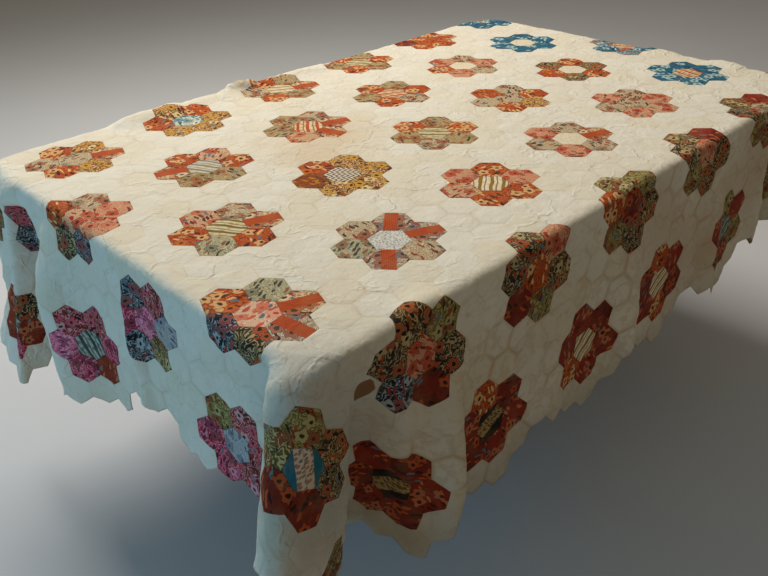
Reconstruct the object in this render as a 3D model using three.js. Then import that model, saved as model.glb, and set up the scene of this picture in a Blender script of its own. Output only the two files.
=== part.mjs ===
import * as THREE from 'three';

// A patchwork quilt draped over a plain trestle table, in millimetres, +Z up.
// The table stands with its length along X. The near long side is at -Y, the near short side at -X.

// Table
const boardLength = 1622;
const boardWidth = 1052;
const boardThickness = 25;
const boardCornerRadius = 86;
const boardEdgeRadius = 14;
const tableHeight = 760;
const pieceGap = 0.3;
const postSpacing = 760;
const postSide = 84;
const footLength = 380;
const footWidth = 84;
const footHeight = 52;
const bearerLength = 620;
const bearerWidth = 70;
const bearerHeight = 48;
const stretcherHeight = 96;
const stretcherWidth = 32;
const stretcherLevel = 250;
const boardCornerSteps = 7;
const boardEdgeSteps = 4;
const boardColor = 0x7a5433;
const frameColor = 0x6d4a2c;

// Quilt
const hexagonSide = 38.1;
const blockRingCount = 2;
const quiltTurn = THREE.MathUtils.degToRad(4.2);
const blockRows = [-2, -1, 0, 1, 2, 3, 4];
const blocksInRow = 10;
const evenRowStart = -3;
const oddRowStart = -3.5;
const firstBlock = { x: -477.5, y: -342.3 };

// The quilt's short ends are trimmed across its rows, in block widths from the first block: the near
// end at a line of its own from each height across the rows, the far end at one line.
const nearTrims = [
  { from: -3, line: -2.13 },
  { from: -0.25, line: -2.28 },
  { from: 1.25, line: -2.5 },
];
const farTrim = 5.4;
const clothThickness = 2;
const clothLift = 0.4;
const sideGap = 2;
const rollRadius = 12;
const clothColor = 0xe9dcc3;

// Shape of the drape below the table's edge
const hangDepth = 640;
const rollSteps = 8;
const levelStep = 10;
const fineSideStep = 12.5;
const fineCornerSteps = 60;
const roughStep = 2.5;
const curveStep = 4;
const softenPasses = 6;
const fittingSteps = 14;
const deepestLobe = 768;
const steepest = 0.35;

// The near long side, the far short one, the far long one and the near short one, each walked with the
// cloth's outside on the right. The anchor is where the cloth doesn't slide along the edge, and slip is
// how far it does for each millimetre of drop.
const sides = [
  { along: [1, 0], out: [0, -1], anchor: 60, slip: 0 },
  { along: [0, 1], out: [1, 0], anchor: 30, slip: 0 },
  { along: [-1, 0], out: [0, 1], anchor: -40, slip: 0 },
  { along: [0, -1], out: [-1, 0], anchor: -100, slip: -0.14 },
];

// Flutes down the sides: at is the place along the side from its middle, before and after are the
// half widths, depth is reached between the drops starts and full, and drift moves the flute along.
const flutes = [
  { side: 0, at: -655, before: 40, after: 45, depth: 9, starts: 20, full: 90, drift: 0.02 },
  { side: 0, at: -518, before: 75, after: 52, depth: 60, starts: 8, full: 400, drift: -0.112 },
  { side: 0, at: -270, before: 90, after: 90, depth: 16, starts: 40, full: 360, drift: 0.02 },
  { side: 0, at: 10, before: 80, after: 60, depth: 34, starts: 20, full: 380, drift: -0.05 },
  { side: 0, at: 330, before: 90, after: 70, depth: 30, starts: 20, full: 360, drift: 0.03 },
  { side: 0, at: 560, before: 60, after: 60, depth: 26, starts: 30, full: 340, drift: 0.05 },
  { side: 1, at: -190, before: 70, after: 80, depth: 40, starts: 15, full: 380, drift: -0.04 },
  { side: 1, at: 150, before: 80, after: 60, depth: 34, starts: 25, full: 360, drift: 0.05 },
  { side: 2, at: -430, before: 80, after: 70, depth: 44, starts: 10, full: 340, drift: -0.06 },
  { side: 2, at: -90, before: 90, after: 90, depth: 26, starts: 25, full: 330, drift: 0.03 },
  { side: 2, at: 230, before: 65, after: 80, depth: 46, starts: 10, full: 340, drift: 0.04 },
  { side: 2, at: 520, before: 60, after: 60, depth: 28, starts: 25, full: 320, drift: 0.05 },
  { side: 3, at: -248, before: 55, after: 134, depth: 62, starts: 6, full: 233, drift: 0 },
  { side: 3, at: 42, before: 20, after: 22, depth: 22, starts: 10, full: 150, drift: 0.02 },
  { side: 3, at: 230, before: 90, after: 90, depth: 12, starts: 40, full: 300, drift: 0 },
];

// Lobes, and the tucks beside them, that take up the cloth at the corners: corner n lies after
// side n, at is measured from the middle of its round, aim turns from straight out of side n at 0 to
// straight out of the next at 90 degrees, and share parts the depth between the folds of one corner,
// less than 0 for a tuck. A fold begins at the drop starts and has its whole share at full.
const lobes = [
  { corner: 0, at: -20, before: 64, after: 60, aim: 38, share: 1, bluntness: 0.6, starts: -1, full: 0 },
  { corner: 0, at: -150, before: 60, after: 66, aim: 20, share: -0.36, bluntness: 1, starts: 45, full: 190 },
  { corner: 0, at: 120, before: 62, after: 70, aim: 80, share: -0.32, bluntness: 1, starts: 45, full: 190 },
  { corner: 1, at: -62, before: 50, after: 46, aim: 24, share: 0.8, bluntness: 0.7, starts: -1, full: 0 },
  { corner: 1, at: 0, before: 30, after: 30, aim: 45, share: -0.2, bluntness: 1, starts: 45, full: 220 },
  { corner: 1, at: 60, before: 46, after: 50, aim: 70, share: 1, bluntness: 0.7, starts: -1, full: 0 },
  { corner: 2, at: -13, before: 56, after: 52, aim: 16, share: 1.15, bluntness: 0.6, starts: -1, full: 0 },
  { corner: 2, at: 103, before: 50, after: 50, aim: 84, share: 0.52, bluntness: 0.7, starts: -1, full: 0 },
  { corner: 2, at: 135, before: 40, after: 32, aim: 87, share: -0.96, bluntness: 0.8, starts: 40, full: 100 },
  { corner: 3, at: 1, before: 55, after: 38, aim: 17.5, share: 1, bluntness: 0.36, starts: -1, full: 0 },
  { corner: 3, at: 90, before: 35, after: 55, aim: 85, share: -0.6, bluntness: 1, starts: 8, full: 158 },
];
const lobeWidening = 0.0009;
const cornerGive = 0.16;
const giveDrop = 170;

// Fineness of the quilt's solid
const sideStation = 48;
const cornerStations = 26;
const rowShares = [0.07, 0.17, 0.33, 0.52, 0.75, 1];
const hemMargin = 14;
const nearlyParallel = 1e-9;
const hemProbes = [-26, -13, 0, 13, 26];
const innerRings = [{ scale: 0.75, thinning: 4 }, { scale: 0.4, thinning: 2 }];

const hexagonPitch = hexagonSide * Math.sqrt(3);
const blockPitch = hexagonPitch * Math.sqrt(19);
const midHalfLength = boardLength / 2 + sideGap + clothThickness / 2;
const midHalfWidth = boardWidth / 2 + sideGap + clothThickness / 2;
const midCornerRadius = boardCornerRadius + sideGap + clothThickness / 2;
const rollCornerRadius = midCornerRadius - rollRadius;
const cornerX = midHalfLength - midCornerRadius;
const cornerY = midHalfWidth - midCornerRadius;
const arcLength = midCornerRadius * Math.PI / 2;
const topLevel = clothLift + clothThickness / 2;

for (const side of sides) {
  side.half = side.along[0] !== 0 ? cornerX : cornerY;
  side.offset = side.along[0] !== 0 ? cornerY : cornerX;
}

const nextSide = (index) => (index + 1) % sides.length;
const mix = (a, b, t) => a + (b - a) * t;

function smooth(t) {
  const c = Math.min(Math.max(t, 0), 1);
  return c * c * (3 - 2 * c);
}

// A point at a distance from the straight of a side, or about the middle of a corner's round.
function sidePoint(side, place, distance) {
  return [
    side.along[0] * place + side.out[0] * (side.offset + distance),
    side.along[1] * place + side.out[1] * (side.offset + distance),
  ];
}

function cornerPoint(index, angle, radius) {
  const before = sides[index];
  const after = sides[nextSide(index)];
  const middle = sidePoint(before, before.half, 0);
  const c = Math.cos(angle) * radius;
  const s = Math.sin(angle) * radius;
  return [
    middle[0] + before.out[0] * c + after.out[0] * s,
    middle[1] + before.out[1] * c + after.out[1] * s,
  ];
}

// How far out a fold of the given half widths stands at a distance from its middle.
function bump(distance, before, after, bluntness) {
  const x = distance < 0 ? -distance / before : distance / after;
  return x >= 1 ? 0 : Math.cos(x * Math.PI / 2) ** bluntness;
}

function fluteShift(index, place, drop) {
  const side = sides[index];
  let out = 0;
  for (const flute of flutes) {
    if (flute.side !== index) continue;
    const depth = flute.depth * smooth((drop - flute.starts) / (flute.full - flute.starts));
    out += depth * bump(place - flute.at - flute.drift * drop, flute.before, flute.after, 2);
  }
  return [side.out[0] * out, side.out[1] * out];
}

function lobeShift(index, distance, drop, amount) {
  const before = sides[index];
  const after = sides[nextSide(index)];
  const shift = [0, 0];
  for (const lobe of lobes) {
    if (lobe.corner !== index) continue;
    const aim = THREE.MathUtils.degToRad(lobe.aim);
    const wide = 1 + lobeWidening * drop;
    const height = bump((distance - lobe.at) / wide, lobe.before, lobe.after, lobe.bluntness);
    const begun = smooth((drop - lobe.starts) / (lobe.full - lobe.starts));
    const out = amount * lobe.share * begun * height;
    shift[0] += out * (before.out[0] * Math.cos(aim) + after.out[0] * Math.sin(aim));
    shift[1] += out * (before.out[1] * Math.cos(aim) + after.out[1] * Math.sin(aim));
  }
  return shift;
}

// The cloth's line in plan at one drop, from the anchor of a side round its corner to the next one.
function planLine(index, drop, amount) {
  const before = sides[index];
  const after = sides[nextSide(index)];
  const reach = rollRadius * Math.sin(Math.min(drop / rollRadius, Math.PI / 2));
  const start = before.anchor + before.slip * drop - before.half;
  const end = arcLength + after.half + after.anchor + after.slip * drop;
  const count = Math.ceil((end - start) / roughStep);
  const rough = [];
  for (let i = 0; i <= count; i += 1) {
    const place = mix(start, end, i / count);
    let point;
    let flute = [0, 0];
    if (place < 0) {
      point = sidePoint(before, place + before.half, rollCornerRadius + reach);
      flute = fluteShift(index, place + before.half, drop);
    } else if (place > arcLength) {
      const along = place - arcLength - after.half;
      point = sidePoint(after, along, rollCornerRadius + reach);
      flute = fluteShift(nextSide(index), along, drop);
    } else {
      point = cornerPoint(index, place / midCornerRadius, rollCornerRadius + reach);
    }
    const lobe = lobeShift(index, place - arcLength / 2, drop, amount);
    rough.push([point[0] + flute[0] + lobe[0], point[1] + flute[1] + lobe[1]]);
  }
  return soften(evenly(rough));
}

function lengthsAlong(line) {
  const lengths = [0];
  for (let i = 1; i < line.length; i += 1) {
    lengths.push(lengths[i - 1] + Math.hypot(line[i][0] - line[i - 1][0], line[i][1] - line[i - 1][1]));
  }
  return lengths;
}

function pointAt(line, lengths, length) {
  let low = 0;
  let high = lengths.length - 1;
  while (high - low > 1) {
    const middle = (low + high) >> 1;
    if (lengths[middle] <= length) low = middle;
    else high = middle;
  }
  const t = (length - lengths[low]) / (lengths[high] - lengths[low]);
  return [mix(line[low][0], line[high][0], t), mix(line[low][1], line[high][1], t)];
}

function evenly(line) {
  const lengths = lengthsAlong(line);
  const total = lengths[lengths.length - 1];
  const count = Math.ceil(total / curveStep);
  return Array.from({ length: count + 1 }, (_, i) => pointAt(line, lengths, total * i / count));
}

function soften(line) {
  let result = line;
  for (let pass = 0; pass < softenPasses; pass += 1) {
    const last = result;
    result = last.map((point, i) => {
      if (i === 0 || i === last.length - 1) return point;
      return [0, 1].map((k) => (last[i - 1][k] + 2 * point[k] + last[i + 1][k]) / 4);
    });
  }
  return result;
}

// The length of a line of the cloth round a corner, which gives a little on the bias.
function fanLength(drop, angle) {
  return (rollCornerRadius + drop) * angle * (1 - cornerGive * smooth(drop / giveDrop));
}

// The lobes are as deep as takes up the cloth between two anchors at this drop.
function fittedLine(index, drop) {
  const before = sides[index];
  const after = sides[nextSide(index)];
  const flat = before.half - before.anchor + fanLength(drop, Math.PI / 2) + after.half + after.anchor;
  let low = 0;
  let high = deepestLobe;
  for (let i = 0; i < fittingSteps; i += 1) {
    const amount = (low + high) / 2;
    const lengths = lengthsAlong(planLine(index, drop, amount));
    if (lengths[lengths.length - 1] < flat) low = amount;
    else high = amount;
  }
  const line = planLine(index, drop, (low + high) / 2);
  return { line, lengths: lengthsAlong(line), flat };
}

// Stations go round the edge: straight ones by place along a side, fanned ones by angle at a corner.
function stationList(sideStep, cornerSteps) {
  const list = [];
  sides.forEach((side, index) => {
    const count = Math.round(2 * side.half / sideStep);
    for (let i = 0; i < count; i += 1) list.push({ index, place: mix(-side.half, side.half, i / count) });
    for (let i = 0; i < cornerSteps; i += 1) list.push({ index, angle: Math.PI / 2 * i / cornerSteps });
  });
  return list;
}

function flatPoint(station, drop) {
  if (station.angle !== undefined) return cornerPoint(station.index, station.angle, rollCornerRadius + drop);
  return sidePoint(sides[station.index], station.place, rollCornerRadius + drop);
}

// Which fitted line a station lies on, and how far along it at a given drop.
function placeOnLine(station, drop) {
  const side = sides[station.index];
  if (station.angle !== undefined) {
    return { line: station.index, length: side.half - side.anchor + fanLength(drop, station.angle) };
  }
  if (station.place >= side.anchor) return { line: station.index, length: station.place - side.anchor };
  const line = (station.index + sides.length - 1) % sides.length;
  return { line, fromEnd: side.anchor - station.place };
}

function dropLevels() {
  const levels = [];
  const rollLength = rollRadius * Math.PI / 2;
  for (let i = 0; i < rollSteps; i += 1) levels.push(rollLength * i / rollSteps);
  for (let drop = rollLength; drop <= hangDepth; drop += levelStep) levels.push(drop);
  return levels;
}

const fineStations = stationList(fineSideStep, fineCornerSteps);
const levels = dropLevels();

// The drape as a table: for each drop and station, where that spot of the flat cloth hangs.
function drapeTable() {
  const rows = [];
  levels.forEach((drop, k) => {
    const lines = sides.map((_, index) => fittedLine(index, drop));
    const row = fineStations.map((station, j) => {
      const place = placeOnLine(station, drop);
      const { line, lengths, flat } = lines[place.line];
      const share = (place.length ?? flat - place.fromEnd) / flat;
      const [x, y] = pointAt(line, lengths, lengths[lengths.length - 1] * share);
      if (k === 0) return [x, y, topLevel];
      const above = rows[k - 1][j];
      const step = drop - levels[k - 1];
      const across = Math.min(Math.hypot(x - above[0], y - above[1]), step);
      const down = Math.max(Math.sqrt(step * step - across * across), steepest * step);
      return [x, y, above[2] - down];
    });
    rows.push(row);
  });
  return rows;
}

const table = drapeTable();

// The fine station and the drop of a spot of the flat cloth that lies past the edge.
function locate(u, v) {
  let start = 0;
  for (let index = 0; index < sides.length; index += 1) {
    const side = sides[index];
    const count = Math.round(2 * side.half / fineSideStep);
    const place = u * side.along[0] + v * side.along[1];
    const out = u * side.out[0] + v * side.out[1] - side.offset;
    if (out > 0 && Math.abs(place) <= side.half) {
      return { station: start + (place + side.half) / (2 * side.half) * count, drop: out - rollCornerRadius };
    }
    if (out >= 0 && place > side.half) {
      const ahead = place - side.half;
      const angle = Math.atan2(ahead, out);
      return {
        station: start + count + angle / (Math.PI / 2) * fineCornerSteps,
        drop: Math.hypot(ahead, out) - rollCornerRadius,
      };
    }
    start += count + fineCornerSteps;
  }
  return { station: 0, drop: -1 };
}

// Where a spot of the flat cloth lies in space.
function drape(u, v) {
  const { station, drop } = locate(u, v);
  if (drop <= 0) return [u, v, topLevel];
  let k = 0;
  while (k < levels.length - 2 && levels[k + 1] < drop) k += 1;
  const s = (drop - levels[k]) / (levels[k + 1] - levels[k]);
  const j = Math.floor(station) % fineStations.length;
  const t = station - Math.floor(station);
  const next = (j + 1) % fineStations.length;
  return [0, 1, 2].map((axis) => mix(
    mix(table[k][j][axis], table[k][next][axis], t),
    mix(table[k + 1][j][axis], table[k + 1][next][axis], t),
    s,
  ));
}

// The quilt's hexagons, as places in its own rows: whole blocks of nineteen, cut at the short ends.
function quiltCells() {
  const latticeAngle = -Math.atan2(Math.sqrt(3), 4);
  const cells = [];
  for (const row of blockRows) {
    const first = row % 2 === 0 ? evenRowStart : oddRowStart;
    for (let n = 0; n < blocksInRow; n += 1) {
      const blockX = (first + n) * blockPitch;
      const blockY = row * blockPitch * Math.sqrt(3) / 2;
      for (const [q, r] of blockCells()) {
        const alongX = hexagonPitch * (q + r / 2);
        const alongY = hexagonPitch * r * Math.sqrt(3) / 2;
        const x = blockX + alongX * Math.cos(latticeAngle) - alongY * Math.sin(latticeAngle);
        const y = blockY + alongX * Math.sin(latticeAngle) + alongY * Math.cos(latticeAngle);
        const near = nearTrims.findLast((trim) => y >= trim.from * blockPitch).line;
        if (x > near * blockPitch && x < farTrim * blockPitch) cells.push([x, y]);
      }
    }
  }
  return { cells, latticeAngle };
}

// The hem follows the edges of the outermost hexagons.
function quiltOutline() {
  const turned = (x, y) => [
    firstBlock.x + x * Math.cos(quiltTurn) - y * Math.sin(quiltTurn),
    firstBlock.y + x * Math.sin(quiltTurn) + y * Math.cos(quiltTurn),
  ];
  const { cells, latticeAngle } = quiltCells();
  const edges = new Map();
  const key = (point) => `${Math.round(point[0])},${Math.round(point[1])}`;
  for (const [x, y] of cells) {
    const corners = [];
    for (let side = 0; side < 6; side += 1) {
      const angle = latticeAngle + Math.PI / 6 + side * Math.PI / 3;
      corners.push(turned(x + hexagonSide * Math.cos(angle), y + hexagonSide * Math.sin(angle)));
    }
    corners.forEach((corner, side) => {
      const other = corners[(side + 1) % 6];
      const reverse = `${key(other)}|${key(corner)}`;
      if (edges.has(reverse)) edges.delete(reverse);
      else edges.set(`${key(corner)}|${key(other)}`, { from: key(corner), to: key(other), point: corner });
    });
  }
  const byStart = new Map([...edges.values()].map((edge) => [edge.from, edge]));
  const outline = [];
  let edge = byStart.values().next().value;
  for (let i = 0; i < byStart.size; i += 1) {
    outline.push(edge.point);
    edge = byStart.get(edge.to);
  }
  return outline;
}

function blockCells() {
  const cells = [];
  for (let q = -blockRingCount; q <= blockRingCount; q += 1) {
    for (let r = -blockRingCount; r <= blockRingCount; r += 1) {
      if (Math.abs(q + r) <= blockRingCount) cells.push([q, r]);
    }
  }
  return cells;
}

// How far past the edge the hem lies at a station, at its nearest over a few probes to either side.
function hemDrop(station, outline) {
  const near = flatPoint(station, 0);
  const far = flatPoint(station, 1);
  const ray = [far[0] - near[0], far[1] - near[1]];
  let least = hangDepth;
  for (const probe of hemProbes) {
    const from = [near[0] - ray[1] * probe, near[1] + ray[0] * probe];
    outline.forEach((a, i) => {
      const b = outline[(i + 1) % outline.length];
      const edge = [b[0] - a[0], b[1] - a[1]];
      const cross = ray[0] * edge[1] - ray[1] * edge[0];
      if (Math.abs(cross) < nearlyParallel) return;
      const gap = [a[0] - from[0], a[1] - from[1]];
      const along = (gap[0] * edge[1] - gap[1] * edge[0]) / cross;
      const share = (gap[0] * ray[1] - gap[1] * ray[0]) / cross;
      if (along > 0 && share >= 0 && share <= 1) least = Math.min(least, along);
    });
  }
  return least - hemMargin;
}

// A closed sheet from flat spots and their triangles, half its thickness to each side of the drape.
function sheetGeometry(spots, triangles, rim) {
  const middle = spots.map(([u, v]) => new THREE.Vector3(...drape(u, v)));
  const normals = middle.map(() => new THREE.Vector3());
  for (const [a, b, c] of triangles) {
    const ab = middle[b].clone().sub(middle[a]);
    const normal = ab.cross(middle[c].clone().sub(middle[a]));
    for (const corner of [a, b, c]) normals[corner].add(normal);
  }
  const positions = [];
  for (const side of [0.5, -0.5]) {
    middle.forEach((point, i) => {
      const offset = normals[i].clone().setLength(clothThickness * side);
      positions.push(...point.clone().add(offset).toArray());
    });
  }
  const count = spots.length;
  const faces = [];
  for (const [a, b, c] of triangles) {
    faces.push(a, b, c);
    faces.push(a + count, c + count, b + count);
  }
  rim.forEach((a, i) => {
    const b = rim[(i + 1) % rim.length];
    faces.push(b, a, a + count);
    faces.push(b, a + count, b + count);
  });
  const geometry = new THREE.BufferGeometry();
  geometry.setAttribute('position', new THREE.Float32BufferAttribute(positions, 3));
  geometry.setIndex(faces);
  return geometry;
}

// Triangles between the hem and the loop of spots inside it.
function bandTriangles(spots, outer, inner) {
  const asVectors = (loop) => loop.map((i) => new THREE.Vector2(...spots[i]));
  const all = [...outer, ...inner];
  const faces = THREE.ShapeUtils.triangulateShape(asVectors(outer), [asVectors(inner)]);
  return faces.map((face) => counterClockwise(spots, face.map((i) => all[i])));
}

function counterClockwise(spots, [a, b, c]) {
  const area = (spots[b][0] - spots[a][0]) * (spots[c][1] - spots[a][1])
    - (spots[c][0] - spots[a][0]) * (spots[b][1] - spots[a][1]);
  return area > 0 ? [a, b, c] : [a, c, b];
}

function quiltGeometry() {
  const outline = quiltOutline();
  const stations = stationList(sideStation, cornerStations);
  const hems = stations.map((station) => hemDrop(station, outline));
  const rollLength = rollRadius * Math.PI / 2;
  const spots = [];
  const triangles = [];
  const addLoop = (points) => points.map((point) => spots.push(point) - 1);

  const rows = [0, rollLength / 2, rollLength].map((drop) => addLoop(stations.map((s) => flatPoint(s, drop))));
  for (const share of rowShares) {
    rows.push(addLoop(stations.map((s, j) => flatPoint(s, mix(rollLength, hems[j], share)))));
  }
  for (let k = 1; k < rows.length; k += 1) {
    stations.forEach((_, j) => {
      const next = (j + 1) % stations.length;
      triangles.push([rows[k - 1][j], rows[k][j], rows[k][next]]);
      triangles.push([rows[k - 1][j], rows[k][next], rows[k - 1][next]]);
    });
  }
  const hem = addLoop(outline);
  triangles.push(...bandTriangles(spots, hem, rows[rows.length - 1]));

  let ring = rows[0];
  for (const { scale, thinning } of innerRings) {
    const kept = ring.filter((_, i) => i % thinning === 0);
    const inner = addLoop(kept.map((i) => [spots[i][0] * scale, spots[i][1] * scale]));
    inner.forEach((spot, i) => {
      const nextInner = inner[(i + 1) % inner.length];
      for (let step = 0; step < thinning; step += 1) {
        const from = i * thinning + step;
        triangles.push([spot, ring[from], ring[(from + 1) % ring.length]]);
      }
      triangles.push([spot, ring[((i + 1) * thinning) % ring.length], nextInner]);
    });
    ring = inner;
  }
  const [middle] = addLoop([[0, 0]]);
  ring.forEach((spot, i) => triangles.push([middle, spot, ring[(i + 1) % ring.length]]));
  return sheetGeometry(spots, triangles, hem);
}

function boardGeometry() {
  const x = boardLength / 2 - boardEdgeRadius;
  const y = boardWidth / 2 - boardEdgeRadius;
  const r = boardCornerRadius - boardEdgeRadius;
  const shape = new THREE.Shape();
  shape.moveTo(-x + r, -y);
  shape.lineTo(x - r, -y);
  shape.absarc(x - r, -y + r, r, -Math.PI / 2, 0);
  shape.lineTo(x, y - r);
  shape.absarc(x - r, y - r, r, 0, Math.PI / 2);
  shape.lineTo(-x + r, y);
  shape.absarc(-x + r, y - r, r, Math.PI / 2, Math.PI);
  shape.lineTo(-x, -y + r);
  shape.absarc(-x + r, -y + r, r, Math.PI, Math.PI * 1.5);
  return roundedBoard(shape.extractPoints(boardCornerSteps).shape.slice(0, -1));
}

// The board's outline grows from its top face over a quarter round and goes straight down.
function roundedBoard(outline) {
  const count = outline.length;
  const positions = [];
  const addRow = (grow, z) => {
    outline.forEach((point, i) => {
      const ahead = outline[(i + 1) % count];
      const behind = outline[(i + count - 1) % count];
      const normal = ahead.clone().sub(behind).normalize();
      positions.push(point.x + normal.y * grow, point.y - normal.x * grow, z);
    });
  };
  for (let k = 0; k <= boardEdgeSteps; k += 1) {
    const angle = Math.PI / 2 * k / boardEdgeSteps;
    addRow(boardEdgeRadius * Math.sin(angle), -boardEdgeRadius * (1 - Math.cos(angle)));
  }
  addRow(boardEdgeRadius, -boardThickness);
  const faces = [];
  const last = boardEdgeSteps + 1;
  for (let k = 1; k <= last; k += 1) {
    for (let i = 0; i < count; i += 1) {
      const next = (i + 1) % count;
      faces.push((k - 1) * count + i, k * count + i, k * count + next);
      faces.push((k - 1) * count + i, k * count + next, (k - 1) * count + next);
    }
  }
  for (const [a, b, c] of THREE.ShapeUtils.triangulateShape(outline, [])) {
    faces.push(a, b, c);
    faces.push(last * count + a, last * count + c, last * count + b);
  }
  const geometry = new THREE.BufferGeometry();
  geometry.setAttribute('position', new THREE.Float32BufferAttribute(positions, 3));
  geometry.setIndex(faces);
  return geometry;
}

const wood = (color) => new THREE.MeshStandardMaterial({ color, roughness: 0.6, metalness: 0 });
const cloth = new THREE.MeshStandardMaterial({ color: clothColor, roughness: 0.95, metalness: 0 });
const group = new THREE.Group();

function addMesh(name, geometry, material, x, y, z) {
  const mesh = new THREE.Mesh(geometry, material);
  mesh.name = name;
  mesh.position.set(x, y, z);
  group.add(mesh);
  return mesh;
}

function addTable() {
  addMesh('table_top', boardGeometry(), wood(boardColor), 0, 0, tableHeight);
  const bearerTop = tableHeight - boardThickness - pieceGap;
  const postTop = bearerTop - bearerHeight - pieceGap;
  const postBottom = footHeight + pieceGap;
  const postHeight = postTop - postBottom;
  for (const [name, x] of [['left', -postSpacing / 2], ['right', postSpacing / 2]]) {
    const bearer = new THREE.BoxGeometry(bearerWidth, bearerLength, bearerHeight);
    const post = new THREE.BoxGeometry(postSide, postSide, postHeight);
    const foot = new THREE.BoxGeometry(footWidth, footLength, footHeight);
    addMesh(`bearer_${name}`, bearer, wood(frameColor), x, 0, bearerTop - bearerHeight / 2);
    addMesh(`post_${name}`, post, wood(frameColor), x, 0, (postTop + postBottom) / 2);
    addMesh(`foot_${name}`, foot, wood(frameColor), x, 0, footHeight / 2);
  }
  const stretcherLength = postSpacing - postSide - 2 * pieceGap;
  const stretcher = new THREE.BoxGeometry(stretcherLength, stretcherWidth, stretcherHeight);
  addMesh('stretcher', stretcher, wood(frameColor), 0, 0, stretcherLevel);
}

addTable();
addMesh('quilt', quiltGeometry(), cloth, 0, 0, tableHeight);

// The origin goes to the middle of the bounding box, on the floor.
const box = new THREE.Box3().setFromObject(group);
const centre = box.getCenter(new THREE.Vector3());
group.position.set(-centre.x, -centre.y, 0);
group.updateMatrixWorld(true);

export default group;
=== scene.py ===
import math
from collections import namedtuple

import bpy
import numpy as np
from bpy.props import FloatProperty, FloatVectorProperty, PointerProperty
from mathutils import Matrix, Vector


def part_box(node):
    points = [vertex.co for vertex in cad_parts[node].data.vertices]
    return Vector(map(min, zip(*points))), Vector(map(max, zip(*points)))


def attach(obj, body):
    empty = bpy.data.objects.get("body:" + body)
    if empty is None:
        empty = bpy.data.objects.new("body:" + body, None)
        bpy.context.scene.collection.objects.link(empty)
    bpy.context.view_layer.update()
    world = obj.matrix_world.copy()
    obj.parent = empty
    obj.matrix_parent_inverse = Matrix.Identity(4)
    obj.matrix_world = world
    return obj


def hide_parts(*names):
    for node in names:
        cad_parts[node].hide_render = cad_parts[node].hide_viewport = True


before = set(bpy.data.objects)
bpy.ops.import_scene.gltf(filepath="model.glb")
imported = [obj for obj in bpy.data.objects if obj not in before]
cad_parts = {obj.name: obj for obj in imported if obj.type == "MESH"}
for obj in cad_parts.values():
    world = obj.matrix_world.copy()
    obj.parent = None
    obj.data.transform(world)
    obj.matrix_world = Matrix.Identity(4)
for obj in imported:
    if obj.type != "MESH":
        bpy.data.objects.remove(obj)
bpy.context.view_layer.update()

bl_info = {
    "name": "Hexagon Quilt on a Table",
    "version": (1, 0, 0),
    "blender": (4, 5, 0),
    "location": "3D View > Sidebar > Quilt",
    "description": "A hexagon patchwork quilt draped over a plain wooden table",
    "category": "Object",
}

MM = 0.001

# The table's edge and the cloth over it, in millimetres from the table's middle
BOARD_LENGTH = 1622
BOARD_WIDTH = 1052
BOARD_CORNER_RADIUS = 86
SIDE_GAP = 2
SOLID_THICKNESS = 2
CLOTH_LIFT = 0.4
ROLL_RADIUS = 12

MID_HALF_LENGTH = BOARD_LENGTH / 2 + SIDE_GAP + SOLID_THICKNESS / 2
MID_HALF_WIDTH = BOARD_WIDTH / 2 + SIDE_GAP + SOLID_THICKNESS / 2
MID_CORNER_RADIUS = BOARD_CORNER_RADIUS + SIDE_GAP + SOLID_THICKNESS / 2
ROLL_CORNER_RADIUS = MID_CORNER_RADIUS - ROLL_RADIUS
CORNER_X = MID_HALF_LENGTH - MID_CORNER_RADIUS
CORNER_Y = MID_HALF_WIDTH - MID_CORNER_RADIUS
ARC_LENGTH = MID_CORNER_RADIUS * math.pi / 2
TOP_LEVEL = CLOTH_LIFT + SOLID_THICKNESS / 2

# The quilt's pattern, in blocks of nineteen hexagons, which are two rings round a middle one
BLOCK_RINGS = 2
HEXAGON_SIDE = 38.1
HEXAGON_PITCH = HEXAGON_SIDE * math.sqrt(3)
BLOCK_PITCH = HEXAGON_PITCH * math.sqrt(19)
QUILT_TURN = math.radians(4.2)
LATTICE_ANGLE = -math.atan2(math.sqrt(3), 4)
FIRST_BLOCK = (-477.5, -342.3)
BLOCK_ROWS = range(-2, 5)
BLOCKS_IN_ROW = 10
EVEN_ROW_START = -3
ODD_ROW_START = -3.5
PRINTED_FROM = -2.4
PRINTED_TO = 5.2
Trim = namedtuple("Trim", "since line")
NEAR_TRIMS = (Trim(-3, -2.13), Trim(-0.25, -2.28), Trim(1.25, -2.5))
FAR_TRIM = 5.4

# How finely and how far the drape is worked out, and the drop given to spots well inside the edge
HANG_DEPTH = 640
ROLL_STEPS = 8
LEVEL_STEP = 10
SIDE_STEP = 12.5
CORNER_STEPS = 60
ROUGH_STEP = 2.5
CURVE_STEP = 4
SOFTEN_PASSES = 6
FITTING_STEPS = 14
DEEPEST_LOBE = 768
STEEPEST = 0.35
FAR_INSIDE = -1e6

# The four sides, walked with the cloth's outside on the right
Side = namedtuple("Side", "along out anchor slip half offset")
SIDES = (
    Side((1, 0), (0, -1), 60, 0, CORNER_X, CORNER_Y),
    Side((0, 1), (1, 0), 30, 0, CORNER_Y, CORNER_X),
    Side((-1, 0), (0, 1), -40, 0, CORNER_X, CORNER_Y),
    Side((0, -1), (-1, 0), -100, -0.14, CORNER_Y, CORNER_X),
)

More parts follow.
